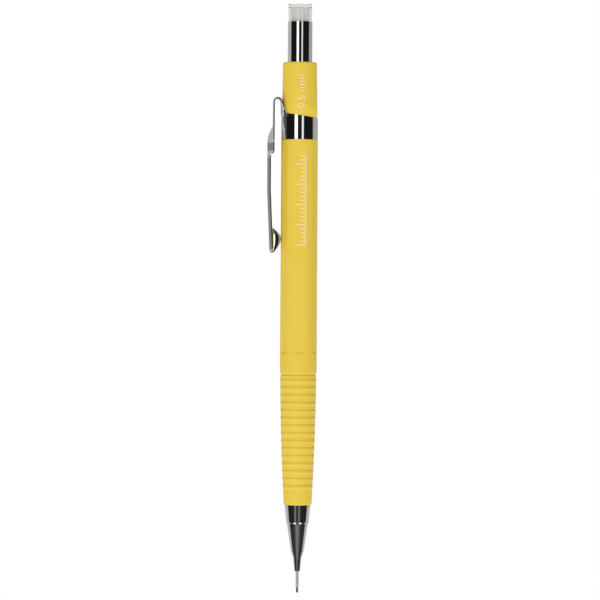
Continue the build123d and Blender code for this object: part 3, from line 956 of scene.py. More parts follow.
# Operators: one for each piece or group of like pieces, and one for the stage
class PENCIL_OT_finishes(Operator):
    """Make the shader groups and every material"""

    bl_idname = "pencil.finishes"
    bl_label = "Finishes"

    def execute(self, context):
        colours = context.scene.pencil_colours
        moulded_grain_group()
        smudge_group()
        turning_group()
        dust_group()
        barrel_finish(colours)
        ink_finish(colours)
        plate_finish("clip_chrome", colours.chrome, 0.03, 0.08)
        plate_finish("tube_chrome", colours.chrome, 0.03, 0.09)
        plate_finish("cone_plate", colours.cone, 0.05, 0.12, 0.0012 * MM)
        metal_finish("sleeve_steel", colours.sleeve, 0.6, 0.7, 0.0001 * MM, metallic=0.9)
        metal_finish("spring_steel", colours.steel, 0.2, 0.35, 0.002 * MM)
        metal_finish("brass", colours.brass, 0.16, 0.32, 0.006 * MM)
        graphite_finish(colours)
        eraser_finish(colours)
        cap_finish(colours)
        plain_plastic_finish("natural_plastic", colours.natural, 0.3, 0.45)
        plain_plastic_finish("black_rubber", colours.rubber, 0.6, 0.8)
        return {"FINISHED"}


class PENCIL_OT_inner_parts(Operator):
    """Give the clutch, the magazine and the other inner CAD nodes their finishes"""

    bl_idname = "pencil.inner_parts"
    bl_label = "Inner parts"

    def execute(self, context):
        for entry in frame["record"]["subparts"]:
            node = frame["nodes"][entry["node"]]
            node.data.materials.clear()
            node.data.materials.append(stuff(entry["material_slot"]))
        return {"FINISHED"}


class PENCIL_OT_barrel(Operator):
    """Make the barrel: its bores, flats, neck and land by rows, and its ribbed grip by a tree"""

    bl_idname = "pencil.barrel"
    bl_label = "Barrel"

    def execute(self, context):
        sizes = context.scene.pencil_barrel
        clip = context.scene.pencil_clip
        radius = barrel_high.y
        foot = barrel_low.z
        top = barrel_high.z
        land = foot + sizes.grip_length
        ring_top = land - sizes.land_round - sizes.land_groove_width
        flats = land + sizes.land_length
        shoulder = flats + sizes.body_length
        last_ring = ring_top - sizes.groove_count * sizes.ring_pitch
        slope = (clip.band_front - clip.band_back) / (2 * clip.band_radius)
        band_middle = shoulder + (clip.band_front + clip.band_back) / 2 + 0.02 * MM
        neck_slope = (sizes.neck_top_radius - sizes.neck_foot_radius) / (top - shoulder)
        seam_radius = sizes.neck_foot_radius + neck_slope * (band_middle - shoulder)
        edge_loss = RING_EDGE * sizes.groove_depth

        def grip_radius(height):
            share = (height - foot) / (ring_top - foot)
            taper = sizes.grip_foot_radius + (sizes.grip_top_radius - sizes.grip_foot_radius) * share
            return taper + 4 * sizes.grip_bulge * share * (1 - share)

        def plain(points):
            return [(*point, "plain") for point in points]

        land_floor = radius - sizes.land_groove_depth
        crease = ring_top + sizes.land_groove_width + 0.08 * MM
        rows = plain(
            rounded(
                [
                    (grip_radius(ring_top) - edge_loss, ring_top, 0),
                    (land_floor - 0.01 * MM, ring_top + 0.11 * MM, 0.08 * MM),
                    (land_floor + 0.06 * MM, ring_top + 0.5 * MM, 0.3 * MM),
                    (land_floor, crease - 0.22 * MM, 0.04 * MM),
                    (land_floor - 0.2 * MM, crease - 0.17 * MM, 0.02 * MM),
                    (land_floor - 0.2 * MM, crease, 0.02 * MM),
                    (radius - 0.10 * MM, crease + 0.03 * MM, 0.03 * MM),
                    (radius - 0.02 * MM, land - 0.4 * sizes.land_round, 0.3 * MM),
                    (radius, land, 0.3 * MM),
                    (radius, flats - 2 * sizes.flat_run_out, 0),
                ]
            )
        )
        steps = 20
        for step in range(steps + 1):
            height = flats + sizes.flat_run_out * (1.8 * step / steps - 1.4)
            rows.append((radius, height, "flat"))
        for height in (flats + 3 * MM, (flats + shoulder) / 2, shoulder - 1 * MM, shoulder - 0.08 * MM):
            rows.append((radius, height, "flat"))
        rows.append((radius - 0.01 * MM, shoulder - 0.02 * MM, "flat"))
        rows.append((radius - 0.06 * MM, shoulder, "flat"))
        rows += plain([(sizes.recess_radius, shoulder), (sizes.recess_radius, shoulder + 1 * MM)])
        rows.append((sizes.recess_radius, band_middle, "slant"))
        rows.append((seam_radius - 0.04 * MM, band_middle, "slant"))
        rows.append((seam_radius, band_middle + 0.05 * MM, "slant"))
        stem_top = foot + sizes.stem_depth
        wide_foot = top - sizes.button_depth
        rows += plain(
            rounded(
                [
                    (sizes.neck_foot_radius + neck_slope * 9 * MM, shoulder + 9 * MM, 0),
                    (sizes.neck_top_radius, top, sizes.neck_round),
                    (sizes.button_bore, top, 0.12 * MM),
                    (sizes.button_bore, wide_foot + 0.8 * MM, 0),
                    (sizes.spring_bore, wide_foot, 0),
                    (sizes.spring_bore, stem_top, 0),
                    (sizes.stem_bore, stem_top, 0),
                    (sizes.stem_bore, foot, 0.15 * MM),
                    (sizes.grip_foot_radius, foot, sizes.foot_round),
                    (grip_radius(last_ring) - edge_loss, last_ring, 0),
                ]
            )
        )
        shape = bmesh.new()
        angles = [2 * math.pi * index / sizes.segments for index in range(sizes.segments)]
        flat_distance = radius - sizes.flat_depth
        run_top = flats + 0.3 * sizes.flat_run_out
        run_length = 1.2 * sizes.flat_run_out
        rings = []
        for row_radius, height, kind in rows:
            ring = []
            for angle in angles:
                reach = row_radius
                lift = 0.0
                if kind == "flat":
                    turn = angle % (math.pi / 3) - math.pi / 6
                    ramp = sizes.flat_depth * (max(run_top - height, 0.0) / run_length) ** 2
                    face = (flat_distance + ramp) / math.cos(turn)
                    soft = 0.012 * MM
                    gap = (reach - face) / soft
                    reach -= soft * (max(gap, 0.0) + math.log1p(math.exp(-abs(gap))))
                    reach += soft * math.log1p(math.exp(-abs((row_radius - flat_distance) / soft)))
                if kind == "slant":
                    lift = -slope * row_radius * math.cos(angle)
                point = (reach * math.cos(angle), reach * math.sin(angle), height + lift)
                ring.append(shape.verts.new(point))
            rings.append(ring)
        loft_rows(shape, rings)
        barrel = new_object("barrel_shell", shape, stuff("yellow_plastic"))
        values = {
            "Segments": sizes.segments,
            "Grooves": sizes.groove_count,
            "Pitch": sizes.ring_pitch,
            "Groove Width": sizes.groove_width,
            "Groove Depth": sizes.groove_depth,
            "Flank": sizes.groove_flank,
            "Foot": foot,
            "Top": ring_top,
            "Foot Radius": sizes.grip_foot_radius,
            "Top Radius": sizes.grip_top_radius,
            "Bulge": sizes.grip_bulge,
            "Material": stuff("yellow_plastic"),
        }
        run_tree(barrel, grip_tree(), values)
        outward(barrel)
        shade(barrel, 50.0)
        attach(barrel, "barrel")
        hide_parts("barrel")
        return {"FINISHED"}


class PENCIL_OT_print_marks(Operator):
    """Print the lead size on the neck and a short scale on the front flat"""

    bl_idname = "pencil.print_marks"
    bl_label = "Printed marks"

    def execute(self, context):
        sizes = context.scene.pencil_print
        barrel = context.scene.pencil_barrel
        radius = barrel_high.y
        shoulder = barrel_low.z + barrel.grip_length + barrel.land_length + barrel.body_length
        neck_slope = (barrel.neck_top_radius - barrel.neck_foot_radius) / (barrel_high.z - shoulder)
        ink_rise = 0.012 * MM

        def on_neck(x, height):
            """How far in front of the axis the neck's surface lies."""
            neck = barrel.neck_foot_radius + neck_slope * (height - shoulder)
            return -math.sqrt(neck * neck - x * x) - ink_rise

        text = bpy.data.curves.new("lead_size", "FONT")
        text.body = sizes.figures
        text.size = sizes.figure_height / 0.69
        text.extrude = 0.0
        text.resolution_u = 6
        writer = bpy.data.objects.new("lead_size_writer", text)
        bpy.context.scene.collection.objects.link(writer)
        depsgraph = bpy.context.evaluated_depsgraph_get()
        mesh = bpy.data.meshes.new_from_object(writer.evaluated_get(depsgraph), depsgraph=depsgraph)
        bpy.data.objects.remove(writer)
        shape = bmesh.new()
        shape.from_mesh(mesh)
        for index in range(6):
            x = sizes.figure_height * (2.3 + 0.42 * index)
            bar = bmesh.ops.create_grid(shape, x_segments=1, y_segments=8, size=0.5)
            width = 0.26 * MM
            tall = sizes.figure_height * 0.62
            bmesh.ops.scale(shape, verts=bar["verts"], vec=(width, tall, 1))
            bmesh.ops.translate(shape, verts=bar["verts"], vec=(x, tall / 2, 0))
        bmesh.ops.remove_doubles(shape, verts=shape.verts, dist=1e-6)
        for _ in range(3):
            long_edges = [edge for edge in shape.edges if edge.calc_length() > 0.35 * MM]
            bmesh.ops.subdivide_edges(shape, edges=long_edges, cuts=1)
            bmesh.ops.triangulate(shape, faces=shape.faces)
        for vert in shape.verts:
            x = sizes.baseline - vert.co.y
            height = sizes.figure_foot + vert.co.x
            vert.co = Vector((x, on_neck(x, height), height))
        bmesh.ops.recalc_face_normals(shape, faces=shape.faces)
        figures = new_object("lead_size_mark", shape, stuff("printed_ink"))
        if figures.data.polygons[0].normal.y > 0:
            figures.data.flip_normals()
        thicken = figures.modifiers.new("thickness", "SOLIDIFY")
        thicken.thickness = ink_rise + 0.004 * MM
        baked(figures)

        scale = carrier("printed_scale", stuff("printed_ink"))
        values = {
            "Ticks": sizes.tick_count,
            "Pitch": sizes.tick_pitch,
            "Foot": sizes.scale_foot,
            "Baseline": sizes.baseline + 0.2 * MM,
            "Face": -(radius - barrel.flat_depth) - ink_rise / 2,
            "Short Tick": 1.1 * MM,
            "Long Tick": 2.2 * MM,
            "Every": 5.0,
            "Stroke": sizes.stroke,
            "Thickness": ink_rise,
            "Material": stuff("printed_ink"),
        }
        run_tree(scale, scale_tree(), values)
        for mark in (figures, scale):
            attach(mark, "barrel")
        return {"FINISHED"}


class PENCIL_OT_tip(Operator):
    """Turn the cone with its threaded stem, the lead sleeve and the lead"""

    bl_idname = "pencil.tip"
    bl_label = "Tip"

    def execute(self, context):
        sizes = context.scene.pencil_tip
        sleeve_radius = sleeve_high.x
        rim = cone_high.x
        grip_foot = barrel_low.z
        outline = rounded(
            [
                (sleeve_radius, sizes.neck_height, 0),
                (sleeve_radius, cone_low.z, 0.1 * MM),
                (sizes.nose_radius, cone_low.z, 0.16 * MM),
                (sizes.neck_radius, sizes.neck_height, 0.5 * MM),
                (sizes.shoulder_radius - 0.2 * MM, sizes.shoulder_height - 0.6 * MM, 0.3 * MM),
                (sizes.shoulder_radius, sizes.shoulder_height, 0.18 * MM),
                (sizes.cone_radius, sizes.cone_height, 0.05 * MM),
                (sizes.cone_radius + 0.02 * MM, sizes.cone_height + 0.2 * MM, 0.05 * MM),
                (sizes.step_radius, sizes.step_height, 0.05 * MM),
                (rim, grip_foot, 0.06 * MM),
                (sizes.stem_root, grip_foot, 0.05 * MM),
                (sizes.stem_root, cone_high.z, 0.2 * MM),
                (sizes.stem_bore, cone_high.z, 0.05 * MM),
                (sizes.stem_bore, sizes.jaw_room_top, 0),
                (sizes.jaw_room_radius, sizes.jaw_room_top, 0),
                (sizes.jaw_room_radius, sizes.jaw_room_foot, 0),
                (sizes.pocket_radius, sizes.jaw_room_foot - sizes.jaw_room_radius + sizes.pocket_radius, 0),
                (sizes.pocket_radius, sleeve_high.z + 0.3 * MM, 0),
                (sleeve_radius, sleeve_high.z + 0.3 * MM, 0),
            ],
            closed=True,
        )
        cone = turned("cone_turned", outline, stuff("cone_plate"), 128, closed=True)
        thread = carrier("cone_thread_ridge", stuff("cone_plate"))
        turns = (sizes.stem_length - 1.4 * MM) / sizes.thread_pitch
        values = {
            "Turns": turns,
            "Radius": sizes.stem_root - 0.02 * MM,
            "Foot": grip_foot + 0.7 * MM,
            "Height": turns * sizes.thread_pitch,
            "Wire": 0.3 * MM,
            "Closed Pitch": sizes.thread_pitch,
            "Sides": 6,
            "Material": stuff("cone_plate"),
        }
        run_tree(thread, bpy.data.node_groups.get("wound_coil") or coil_tree(), values)
        tip = joined("tip_cone_plated", [cone, thread])
        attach(tip, "tip")
        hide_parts("tip_cone")

        bore = lead_high.x + 0.02 * MM
        mouth = rounded(
            [
                (bore, sleeve_high.z, 0),
                (bore, 0.0, 0.03 * MM),
                (sleeve_radius - 0.03 * MM, 0.0, 0.03 * MM),
                (sleeve_radius, 0.25 * MM, 0.1 * MM),
                (sleeve_radius, sleeve_high.z, 0),
            ],
            closed=True,
        )
        sleeve = turned("lead_sleeve_tube", mouth, stuff("sleeve_steel"), 64, closed=True)
        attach(sleeve, "tip")
        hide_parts("lead_sleeve")

        radius = lead_high.x
        worn = rounded(
            [
                (0.0, lead_low.z, 0),
                (radius * 0.72, lead_low.z + 0.01 * MM, 0.05 * MM),
                (radius, lead_low.z + 0.16 * MM, 0.06 * MM),
                (radius, lead_high.z, 0.02 * MM),
                (0.0, lead_high.z, 0),
            ]
        )
        lead = turned("writing_lead_rod", worn, stuff("graphite"), 48)
        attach(lead, "writing_lead")
        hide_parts("writing_lead")
        return {"FINISHED"}


class PENCIL_OT_button(Operator):
    """Make the button tube, the eraser, its clear cap and the return spring"""

    bl_idname = "pencil.button"
    bl_label = "Button, eraser and spring"

    def execute(self, context):
        sizes = context.scene.pencil_button
        radius = tube_high.x
        inside = radius - sizes.tube_wall
        wall = rounded(
            [
                (inside, tube_low.z, 0.05 * MM),
                (radius, tube_low.z, 0.05 * MM),
                (radius, tube_high.z, 0.08 * MM),
                (inside, tube_high.z, 0.05 * MM),
            ],
            closed=True,
        )
        tube = turned("button_tube_plated", wall, stuff("tube_chrome"), 128, closed=True)
        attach(tube, "button")
        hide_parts("button_tube")

        cap_foot = cap_high.z - sizes.cap_height
        skirt = inside - 0.02 * MM
        bore = sizes.cap_radius - sizes.cap_wall
        shell = rounded(
            [
                (0.0, cap_high.z - sizes.cap_roof, 0),
                (bore, cap_high.z - sizes.cap_roof, 0.25 * MM),
                (bore, cap_low.z, 0.08 * MM),
                (skirt, cap_low.z, 0.12 * MM),
                (skirt, cap_foot, 0.03 * MM),
                (sizes.cap_radius - 0.04 * MM, cap_foot, 0.05 * MM),
                (sizes.cap_radius, cap_high.z, 0.12 * MM),
                (0.0, cap_high.z, 0),
            ]
        )
        cap = turned("eraser_cap_clear", shell, stuff("clear_plastic"), 96)
        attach(cap, "eraser_cap")
        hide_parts("eraser_cap")

        core = rounded(
            [
                (0.0, eraser_low.z, 0),
                (eraser_high.x, eraser_low.z, 0.3 * MM),
                (eraser_high.x, eraser_high.z, 0.35 * MM),
                (0.0, eraser_high.z, 0),
            ]
        )
        eraser = turned("eraser_core", core, stuff("white_eraser"), 96)
        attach(eraser, "eraser")
        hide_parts("eraser")

        coil = carrier("return_spring_coil", stuff("spring_steel"))
        wire = sizes.wire
        values = {
            "Turns": sizes.coil_turns,
            "Radius": coil_high.x - wire / 2,
            "Foot": coil_low.z + wire / 2,
            "Height": coil_high.z - coil_low.z - wire,
            "Wire": wire,
            "Closed Pitch": wire * 1.02,
            "Sides": 12,
            "Material": stuff("spring_steel"),
        }
        run_tree(coil, bpy.data.node_groups.get("wound_coil") or coil_tree(), values)
        shade(coil)
        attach(coil, "barrel")
        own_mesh(coil)
        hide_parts("return_spring")
        return {"FINISHED"}


class PENCIL_OT_clip(Operator):
    """Bend the pocket clip from one strip: band, lug, loop, channelled arm and rounded bump"""

    bl_idname = "pencil.clip"
    bl_label = "Pocket clip"

    def execute(self, context):
        sizes = context.scene.pencil_clip
        shoulder = band_low.z
        sheet = sizes.sheet
        half_width = sizes.arm_half_width
        slope = (sizes.band_front - sizes.band_back) / (2 * sizes.band_radius)
        band_middle = shoulder + (sizes.band_front + sizes.band_back) / 2
        loop_top = band_high.z
        arm_outside = sizes.arm_outside
        lug_face = sizes.lug_face
        loop_radius = (arm_outside - sheet - lug_face) / 2
        loop_distance = lug_face + loop_radius
        loop_centre = loop_top - loop_radius - sheet
        shape = bmesh.new()

        # Columns of the band, as turns from the clip's side: close together at the lug's edges
        lug_turn = math.asin(half_width / lug_face)
        lug_foot_turn = math.radians(50)
        inner = [lug_turn * step / 10 for step in range(11)]
        shoulder_turns = [lug_turn + (lug_foot_turn - lug_turn) * step / 12 for step in range(1, 13)]
        around = [lug_foot_turn + (math.pi - lug_foot_turn) * step / 32 for step in range(1, 33)]
        half = inner + shoulder_turns + around
        turns = [-turn for turn in reversed(half[1:-1])] + half
        band_rows = 26

        def edge_height(turn):
            """Height of the sheet's upper edge: the slanted band, or the lug that rises from it."""
            slanted = band_middle + slope * sizes.band_radius * math.cos(turn)
            if abs(turn) <= lug_turn + TINY:
                return loop_centre
            share = (abs(turn) - lug_turn) / (lug_foot_turn - lug_turn)
            return slanted + (loop_centre - slanted) * max(1 - share, 0.0) ** 2.6

        rows = []
        for row in range(band_rows + 1):
            line = []
            for turn in turns:
                slanted = band_middle + slope * sizes.band_radius * math.cos(turn)
                height = shoulder + (edge_height(turn) - shoulder) * row / band_rows
                side = 1 - mapped(abs(turn), lug_foot_turn * 0.92, lug_foot_turn * 1.02)
                joggle = mapped(height, slanted - 0.9 * MM, slanted + 0.15 * MM) * side
                reach = sizes.band_radius + (lug_face - sizes.band_radius) * joggle
                flat = mapped(height, slanted + 0.2 * MM, loop_centre)
                across = reach * math.sin(turn)
                out = reach * ((1 - flat) * math.cos(turn) + flat)
                line.append(shape.verts.new((-out, across, height)))
            rows.append(line)
        loft_rows(shape, rows)

        # The strip goes on from the lug's top over the loop; its columns are the lug's own
        first = turns.index(-inner[-1])
        last = turns.index(inner[-1])
        top_row = rows[-1][first:last + 1]
        shares = [vert.co.y / half_width for vert in top_row]
        strip = [top_row]
        loop_steps = 16
        for step in range(1, loop_steps + 1):
            angle = math.pi * step / loop_steps
            distance = loop_distance - loop_radius * math.cos(angle)
            height = loop_centre + loop_radius * math.sin(angle)
            strip.append([shape.verts.new((-distance, share * half_width, height)) for share in shares])
        loft_rows(shape, strip, wrap=False)

        strip_inside = arm_outside - sheet
        boat_start = shoulder + sizes.boat_start
        boat_full = boat_start - sizes.boat_run
        ledge_end = shoulder - sizes.ledge_end
        spine_start = ledge_end - sizes.ledge_run
        bend = shoulder - sizes.bend_drop
        foot = arm_low.z
        top_inside = strip_inside + sizes.boat_rise
        foot_inside = sizes.foot_distance - sheet

        def station(height):
            """The arm's section at a height: its edge's and crown's distance and three half widths."""
            rise_share = min(max((boat_start - height) / (boat_start - boat_full), 0.0), 1.0)
            swell = math.sin(math.pi / 2 * rise_share)
            spine = 1 - mapped(height, spine_start, ledge_end)
            turned_in = min(max((bend - height) / (bend - foot), 0.0), 1.0)
            crown = strip_inside + sizes.boat_rise * swell
            crown -= (top_inside - foot_inside) * turned_in
            edge = strip_inside * (1 - spine) + (crown - sizes.spine_depth + 0.8 * sheet) * spine
            wide = half_width + (sizes.spine_half_width - half_width) * spine - 0.15 * MM * turned_in
            base = sizes.boat_half_width * math.sqrt(rise_share)
            base = base + (wide - base) * spine
            crest = 0.25 * base * (1 - spine) + sizes.crest_half_width * spine
            close = mapped(height, foot, foot + 1.4 * MM)
            wide *= math.sqrt(max(1 - (1 - close) ** 2, 0.02))
            crown -= 0.12 * MM * (1 - close) ** 3
            return edge, crown, crest, base, wide

        def section(height, across):
            """Distance of the sheet's inner face from the axis at a height and a side position."""
            edge, crown, crest, base, _ = station(height)
            fall = (abs(across) - crest) / max(base - crest, TINY)
            return crown - (crown - edge) * min(max(fall, 0.0), 1.0)

        columns = 41
        arm_rows = []
        heights = [loop_centre]
        heights += [loop_centre + (boat_start - loop_centre) * step / 4 for step in range(1, 5)]
        heights += [boat_start + (spine_start - boat_start) * step / 44 for step in range(1, 45)]
        heights += [spine_start + (foot - spine_start) * step / 60 for step in range(1, 61)]
        blur = 0.16 * MM
        for height in heights:
            wide = station(height)[-1]
            line = []
            for column in range(columns):
                across = wide * (2 * column / (columns - 1) - 1)
                samples = [section(height, across + blur * (step - 2) / 2) for step in range(5)]
                line.append(shape.verts.new((-sum(samples) / 5, across, height)))
            arm_rows.append(line)
        loft_rows(shape, arm_rows, wrap=False)
        bmesh.ops.recalc_face_normals(shape, faces=shape.faces)
        sheet_skin = new_object("clip_skin", shape, stuff("clip_chrome"))
        outer = max(sheet_skin.data.polygons, key=lambda face: face.center.x)
        if outer.normal.x < 0:
            sheet_skin.data.flip_normals()
        return self.finish_clip(sheet_skin, sizes, foot, foot_inside)

    def finish_clip(self, sheet_skin, sizes, foot, foot_inside):
        """Gives the skin its thickness, adds the bump and hides the clip's CAD nodes."""
        thicken = sheet_skin.modifiers.new("sheet", "SOLIDIFY")
        thicken.thickness = sizes.sheet
        thicken.offset = -1.0
        thicken.use_even_offset = True
        soften = sheet_skin.modifiers.new("edges", "BEVEL")
        soften.width = 0.035 * MM
        soften.segments = 1
        soften.limit_method = "ANGLE"
        soften.angle_limit = math.radians(60)
        baked(sheet_skin)
        shade(sheet_skin, 40.0)

        bump = self.make_bump(sizes, foot, foot_inside)
        clip = joined("pocket_clip", [sheet_skin, bump])
        shade(clip, 40.0)
        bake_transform(clip)
        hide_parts("clip_band", "clip_arm")
        return {"FINISHED"}

    def make_bump(self, sizes, foot, foot_inside):
        """The lobe that presses on the barrel: full in its middle and pointed at both ends."""
        profile = [
            (0.0, 0.0), (0.02, 0.27), (0.06, 0.38), (0.15, 0.57), (0.25, 0.74), (0.35, 0.88), (0.45, 0.97),
            (0.53, 1.0), (0.62, 0.985), (0.72, 0.85), (0.82, 0.62), (0.92, 0.32), (0.98, 0.09), (1.0, 0.0),
        ]
        deepest = foot_inside - (barrel_high.y + 0.03 * MM)
        shape = bmesh.new()
        rows = []
        steps = 48
        sides = 56
        for step in range(steps + 1):
            share = 0.5 - 0.5 * math.cos(math.pi * step / steps)
            after = next(index for index, (place, _) in enumerate(profile) if place >= share and index)
            (low, low_reach), (high, high_reach) = profile[after - 1:after + 1]
            reach = low_reach + (high_reach - low_reach) * (share - low) / (high - low)
            half_depth = max(deepest * reach, 0.02 * MM) / 2
            fullness = min(reach / 0.4, 1.0)
            half_width = max(sizes.bump_half_width * math.sqrt(fullness * (2 - fullness)), 0.02 * MM)
            middle = foot_inside - half_depth
            height = foot + sizes.bump_length * share
            row = []
            for side in range(sides):
                angle = 2 * math.pi * side / sides
                across, out = math.sin(angle), math.cos(angle)
                squareness = (abs(across) ** 9 + abs(out) ** 9) ** (-1 / 9)
                out *= squareness
                across *= squareness * (1 - 0.2 * max(out + 0.15, 0.0) ** 2)
                row.append(shape.verts.new((-(middle + half_depth * out), half_width * across, height)))
            rows.append(row)
        loft_rows(shape, rows)
        shape.faces.new(list(reversed(rows[0])))
        shape.faces.new(rows[-1])
        bmesh.ops.recalc_face_normals(shape, faces=shape.faces)
        return new_object("clip_bump", shape, stuff("clip_chrome"))


class PENCIL_OT_stage(Operator):
    """Set up the floor, the surrounding studio, the lights and the camera"""

    bl_idname = "pencil.stage"
    bl_label = "Stage"

    def execute(self, context):
        sizes = context.scene.pencil_studio
        scene = context.scene
        scene.view_settings.view_transform = "Standard"
        scene.view_settings.look = "None"
        self.make_world(scene, sizes)
        self.make_floor(sizes)
        self.make_lights()
        self.make_camera(scene, sizes)
        return {"FINISHED"}

    def make_world(self, scene, sizes):
        """White for the camera and a smooth gradient for matt surfaces. Mirrors see bright and dark
        strips round the pencil, with another set for each band of heights, and clear parts an even
        grey: this is a surround fitted to the front view, not an even studio."""
        world = bpy.data.worlds.new("studio")
        world.use_nodes = True
        scene.world = world
        tree = world.node_tree
        tree.nodes.clear()
        calc = calculator(tree)
        aim = add_node(
            tree, "ShaderNodeSeparateXYZ", {0: tree.nodes.new("ShaderNodeTexCoord").outputs["Generated"]}
        )
        around = calc("ARCTAN2", aim.outputs["X"], calc("MULTIPLY", aim.outputs["Y"], -1.0))
        place = calc("ADD", calc("DIVIDE", around, 2 * math.pi), 0.5 - sizes.azimuth / 360.0)
        up = calc("MULTIPLY", calc("ARCSINE", aim.outputs["Z"]), 180 / math.pi)
        arm_strips = self.ramp(
            tree,
            place,
            [
                (-180, 0.31), (-125, 0.28), (-96, 0.25), (-91, 0.01), (-32, 0.008), (-30, 1.6), (-13, 1.6),
                (-11, 0.012), (13, 0.014), (15, 1.0), (25, 1.0), (27, 0.008), (91, 0.01),
                (96, 0.42), (180, 0.46),
            ],
        )
        tube_strips = self.ramp(
            tree,
            place,
            [
                (-180, 0.54), (-95, 0.50), (-90, 0.01), (-32, 0.008), (-30, 1.6), (-13, 1.6), (-11, 0.012),
                (13, 0.014), (15, 1.0), (25, 1.0), (27, 0.008), (91, 0.01), (96, 0.40), (180, 0.44),
            ],
        )
        collar_strips = self.ramp(
            tree,
            place,
            [
                (-180, 0.95), (-100, 0.90), (-92, 0.03), (-34, 0.035), (-27, 0.36), (-15, 0.34), (-11, 0.03),
                (4, 0.03), (8, 0.32), (20, 0.28), (30, 0.035), (92, 0.03), (100, 0.90), (180, 0.95),
            ],
        )
        cone_strips = self.ramp(
            tree,
            place,
            [
                (-180, 0.90), (-102, 0.84), (-92, 0.08), (-55, 0.05), (-32, 0.10), (-14, 0.34), (6, 0.36),
                (26, 0.11), (55, 0.05), (92, 0.08), (102, 0.80), (180, 0.86),
            ],
        )
        cards = self.ramp(
            tree,
            place,
            [
                (-180, 0.30), (-80, 0.25), (-66, 0.2), (-62, 2.2), (-24, 2.2), (-18, 0.1), (18, 0.1),
                (24, 2.2), (62, 2.2), (66, 0.2), (80, 0.25), (180, 0.30),
            ],
        )
        raised = add_node(
            tree, "ShaderNodeMapRange", {"Value": up, "From Min": 3.1, "From Max": 3.5}
        ).outputs[0]
        low = add_node(
            tree, "ShaderNodeMapRange", {"Value": up, "From Min": -4.4, "From Max": -5.0}
        ).outputs[0]
        lower = add_node(
            tree, "ShaderNodeMapRange", {"Value": up, "From Min": -16.0, "From Max": -18.0}
        ).outputs[0]
        deep = add_node(
            tree, "ShaderNodeMapRange", {"Value": up, "From Min": -49.0, "From Max": -54.0}
        ).outputs[0]
        high = add_node(
            tree, "ShaderNodeMapRange", {"Value": up, "From Min": 35.0, "From Max": 60.0}
        ).outputs[0]
        mirror = self.blend_values(tree, raised, arm_strips, tube_strips)
        mirror = self.blend_values(tree, low, mirror, collar_strips)
        mirror = self.blend_values(tree, lower, mirror, cone_strips)
        mirror = self.blend_values(tree, deep, mirror, cards)
        mirror = self.blend_values(tree, high, mirror, 0.75)
        front = calc("MULTIPLY", aim.outputs["Y"], -0.50)
        under = calc("MULTIPLY", aim.outputs["Z"], -0.75)
        right = calc("MULTIPLY", calc("MAXIMUM", aim.outputs["X"], 0.0), -0.4)
        soft = calc("ADD", calc("ADD", 0.74, right), calc("ADD", front, under))
        path = tree.nodes.new("ShaderNodeLightPath")
        light = self.blend_values(tree, path.outputs["Is Glossy Ray"], soft, mirror)
        light = self.blend_values(tree, path.outputs["Is Transmission Ray"], light, 0.74)
        light = self.blend_values(tree, path.outputs["Is Camera Ray"], light, 1.0)
        background = add_node(
            tree, "ShaderNodeBackground", {"Color": (1.0, 1.0, 1.0, 1.0), "Strength": light}
        )
        output = tree.nodes.new("ShaderNodeOutputWorld")
        tree.links.new(background.outputs[0], output.inputs[0])

    def ramp(self, tree, place, stops):
        """Brightness by direction round the pencil, from (degrees to the right, value) stops."""
        highest = max(value for _, value in stops)
        node = add_node(tree, "ShaderNodeValToRGB", {0: place})
        elements = node.color_ramp.elements
        while len(elements) < len(stops):
            elements.new(0.5)
        for element, (degrees, value) in zip(elements, stops):
            element.position = degrees / 360.0 + 0.5
            element.color = (value / highest, value / highest, value / highest, 1.0)
        return calculator(tree)("MULTIPLY", node.outputs[0], highest)

    def blend_values(self, tree, factor, first, second):
        """The first value where factor is 0, the second where it is 1."""
        node = add_node(tree, "ShaderNodeMix", {0: factor, 2: first, 3: second}, data_type="FLOAT")
        return node.outputs[0]

    def make_floor(self, sizes):
        """A pale floor that glows: brighter for other rays than for the camera."""
        material = bpy.data.materials.new("pale_floor")
        material.use_nodes = True
        tree = material.node_tree
        tree.nodes.clear()
        path = tree.nodes.new("ShaderNodeLightPath")
        level = self.blend_values(tree, path.outputs["Is Camera Ray"], 1.3, 1.0)
        glow = add_node(tree, "ShaderNodeEmission", {"Color": (1.0, 1.0, 1.0, 1.0), "Strength": level})
        output = tree.nodes.new("ShaderNodeOutputMaterial")
        tree.links.new(glow.outputs[0], output.inputs[0])
        shape = bmesh.new()
        bmesh.ops.create_grid(shape, x_segments=1, y_segments=1, size=2.0)
        bmesh.ops.translate(shape, verts=shape.verts, vec=(0, 0, cad_low.z - sizes.floor_drop))
        floor = new_object("floor", shape, material)
        floor.visible_glossy = False

    def make_lights(self):
        """A large soft light from the front left and a weaker one from the right."""
        for name, place, power, size in (
            ("key_light", (-0.35, -0.9, 0.1), 0.5, 0.5),
            ("fill_light", (0.35, -0.9, 0.0), 0.4, 0.5),
        ):
            light = bpy.data.lights.new(name, "AREA")
            light.energy = power
            light.size = size
            lamp = bpy.data.objects.new(name, light)
            bpy.context.scene.collection.objects.link(lamp)
            lamp.location = place
            target = Vector((0, 0, 0.07))
            lamp.rotation_euler = (Vector(place) - target).to_track_quat("Z", "Y").to_euler()
            lamp.visible_glossy = False

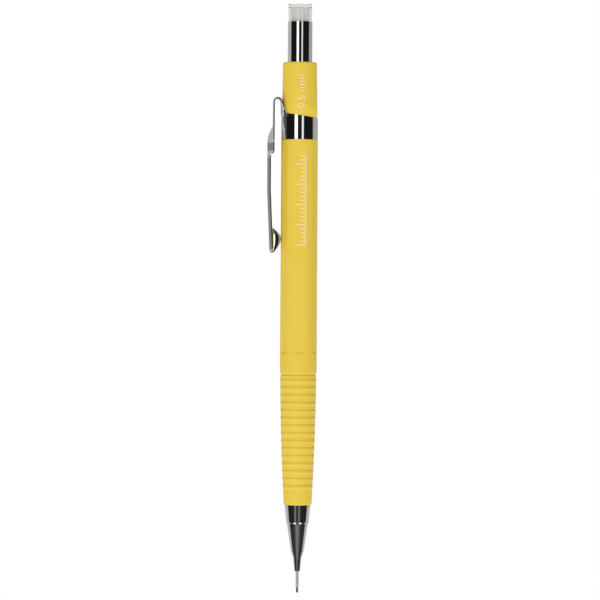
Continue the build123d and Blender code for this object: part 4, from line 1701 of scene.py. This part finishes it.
    def make_camera(self, scene, sizes):
        """A level camera in front of the pencil, turned and rolled a little."""
        camera = bpy.data.cameras.new("camera")
        camera.lens = sizes.lens
        camera.sensor_width = 36.0
        camera.clip_start = 0.01
        camera.clip_end = 20.0
        eye = bpy.data.objects.new("camera", camera)
        scene.collection.objects.link(eye)
        turn = math.radians(sizes.azimuth)
        back = Vector((math.sin(turn), -math.cos(turn), 0))
        right = Vector((math.cos(turn), math.sin(turn), 0))
        eye.location = back * sizes.distance + right * sizes.shift + Vector((0, 0, sizes.eye))
        level = Euler((math.pi / 2, 0, turn)).to_matrix()
        rolled = level @ Matrix.Rotation(math.radians(sizes.roll), 3, "Z")
        eye.rotation_euler = rolled.to_euler()
        scene.camera = eye


class PENCIL_PT_panel(Panel):
    """Lists the pencil's operators in the sidebar"""

    bl_idname = "PENCIL_PT_panel"
    bl_label = "Mechanical Pencil"
    bl_space_type = "VIEW_3D"
    bl_region_type = "UI"
    bl_category = "Pencil"

    def draw(self, context):
        for operator in OPERATORS:
            self.layout.operator(operator.bl_idname)


SETTINGS = {
    "pencil_barrel": BarrelSizes,
    "pencil_tip": TipSizes,
    "pencil_clip": ClipSizes,
    "pencil_button": ButtonSizes,
    "pencil_print": PrintSizes,
    "pencil_colours": Colours,
    "pencil_studio": StudioSizes,
}
OPERATORS = (
    PENCIL_OT_finishes,
    PENCIL_OT_inner_parts,
    PENCIL_OT_barrel,
    PENCIL_OT_print_marks,
    PENCIL_OT_tip,
    PENCIL_OT_button,
    PENCIL_OT_clip,
    PENCIL_OT_stage,
)


def register():
    """Register the settings, operators and panel."""
    for name, group in SETTINGS.items():
        bpy.utils.register_class(group)
        setattr(bpy.types.Scene, name, PointerProperty(type=group))
    for operator in OPERATORS:
        bpy.utils.register_class(operator)
    bpy.utils.register_class(PENCIL_PT_panel)


def unregister():
    """Undo register."""
    bpy.utils.unregister_class(PENCIL_PT_panel)
    for operator in reversed(OPERATORS):
        bpy.utils.unregister_class(operator)
    for name, group in reversed(SETTINGS.items()):
        delattr(bpy.types.Scene, name)
        bpy.utils.unregister_class(group)


def main():
    """Build every piece in order."""
    register()
    bpy.ops.pencil.finishes()
    bpy.ops.pencil.inner_parts()
    bpy.ops.pencil.barrel()
    bpy.ops.pencil.print_marks()
    bpy.ops.pencil.tip()
    bpy.ops.pencil.button()
    bpy.ops.pencil.clip()
    bpy.ops.pencil.stage()


if __name__ == "__main__":
    main()
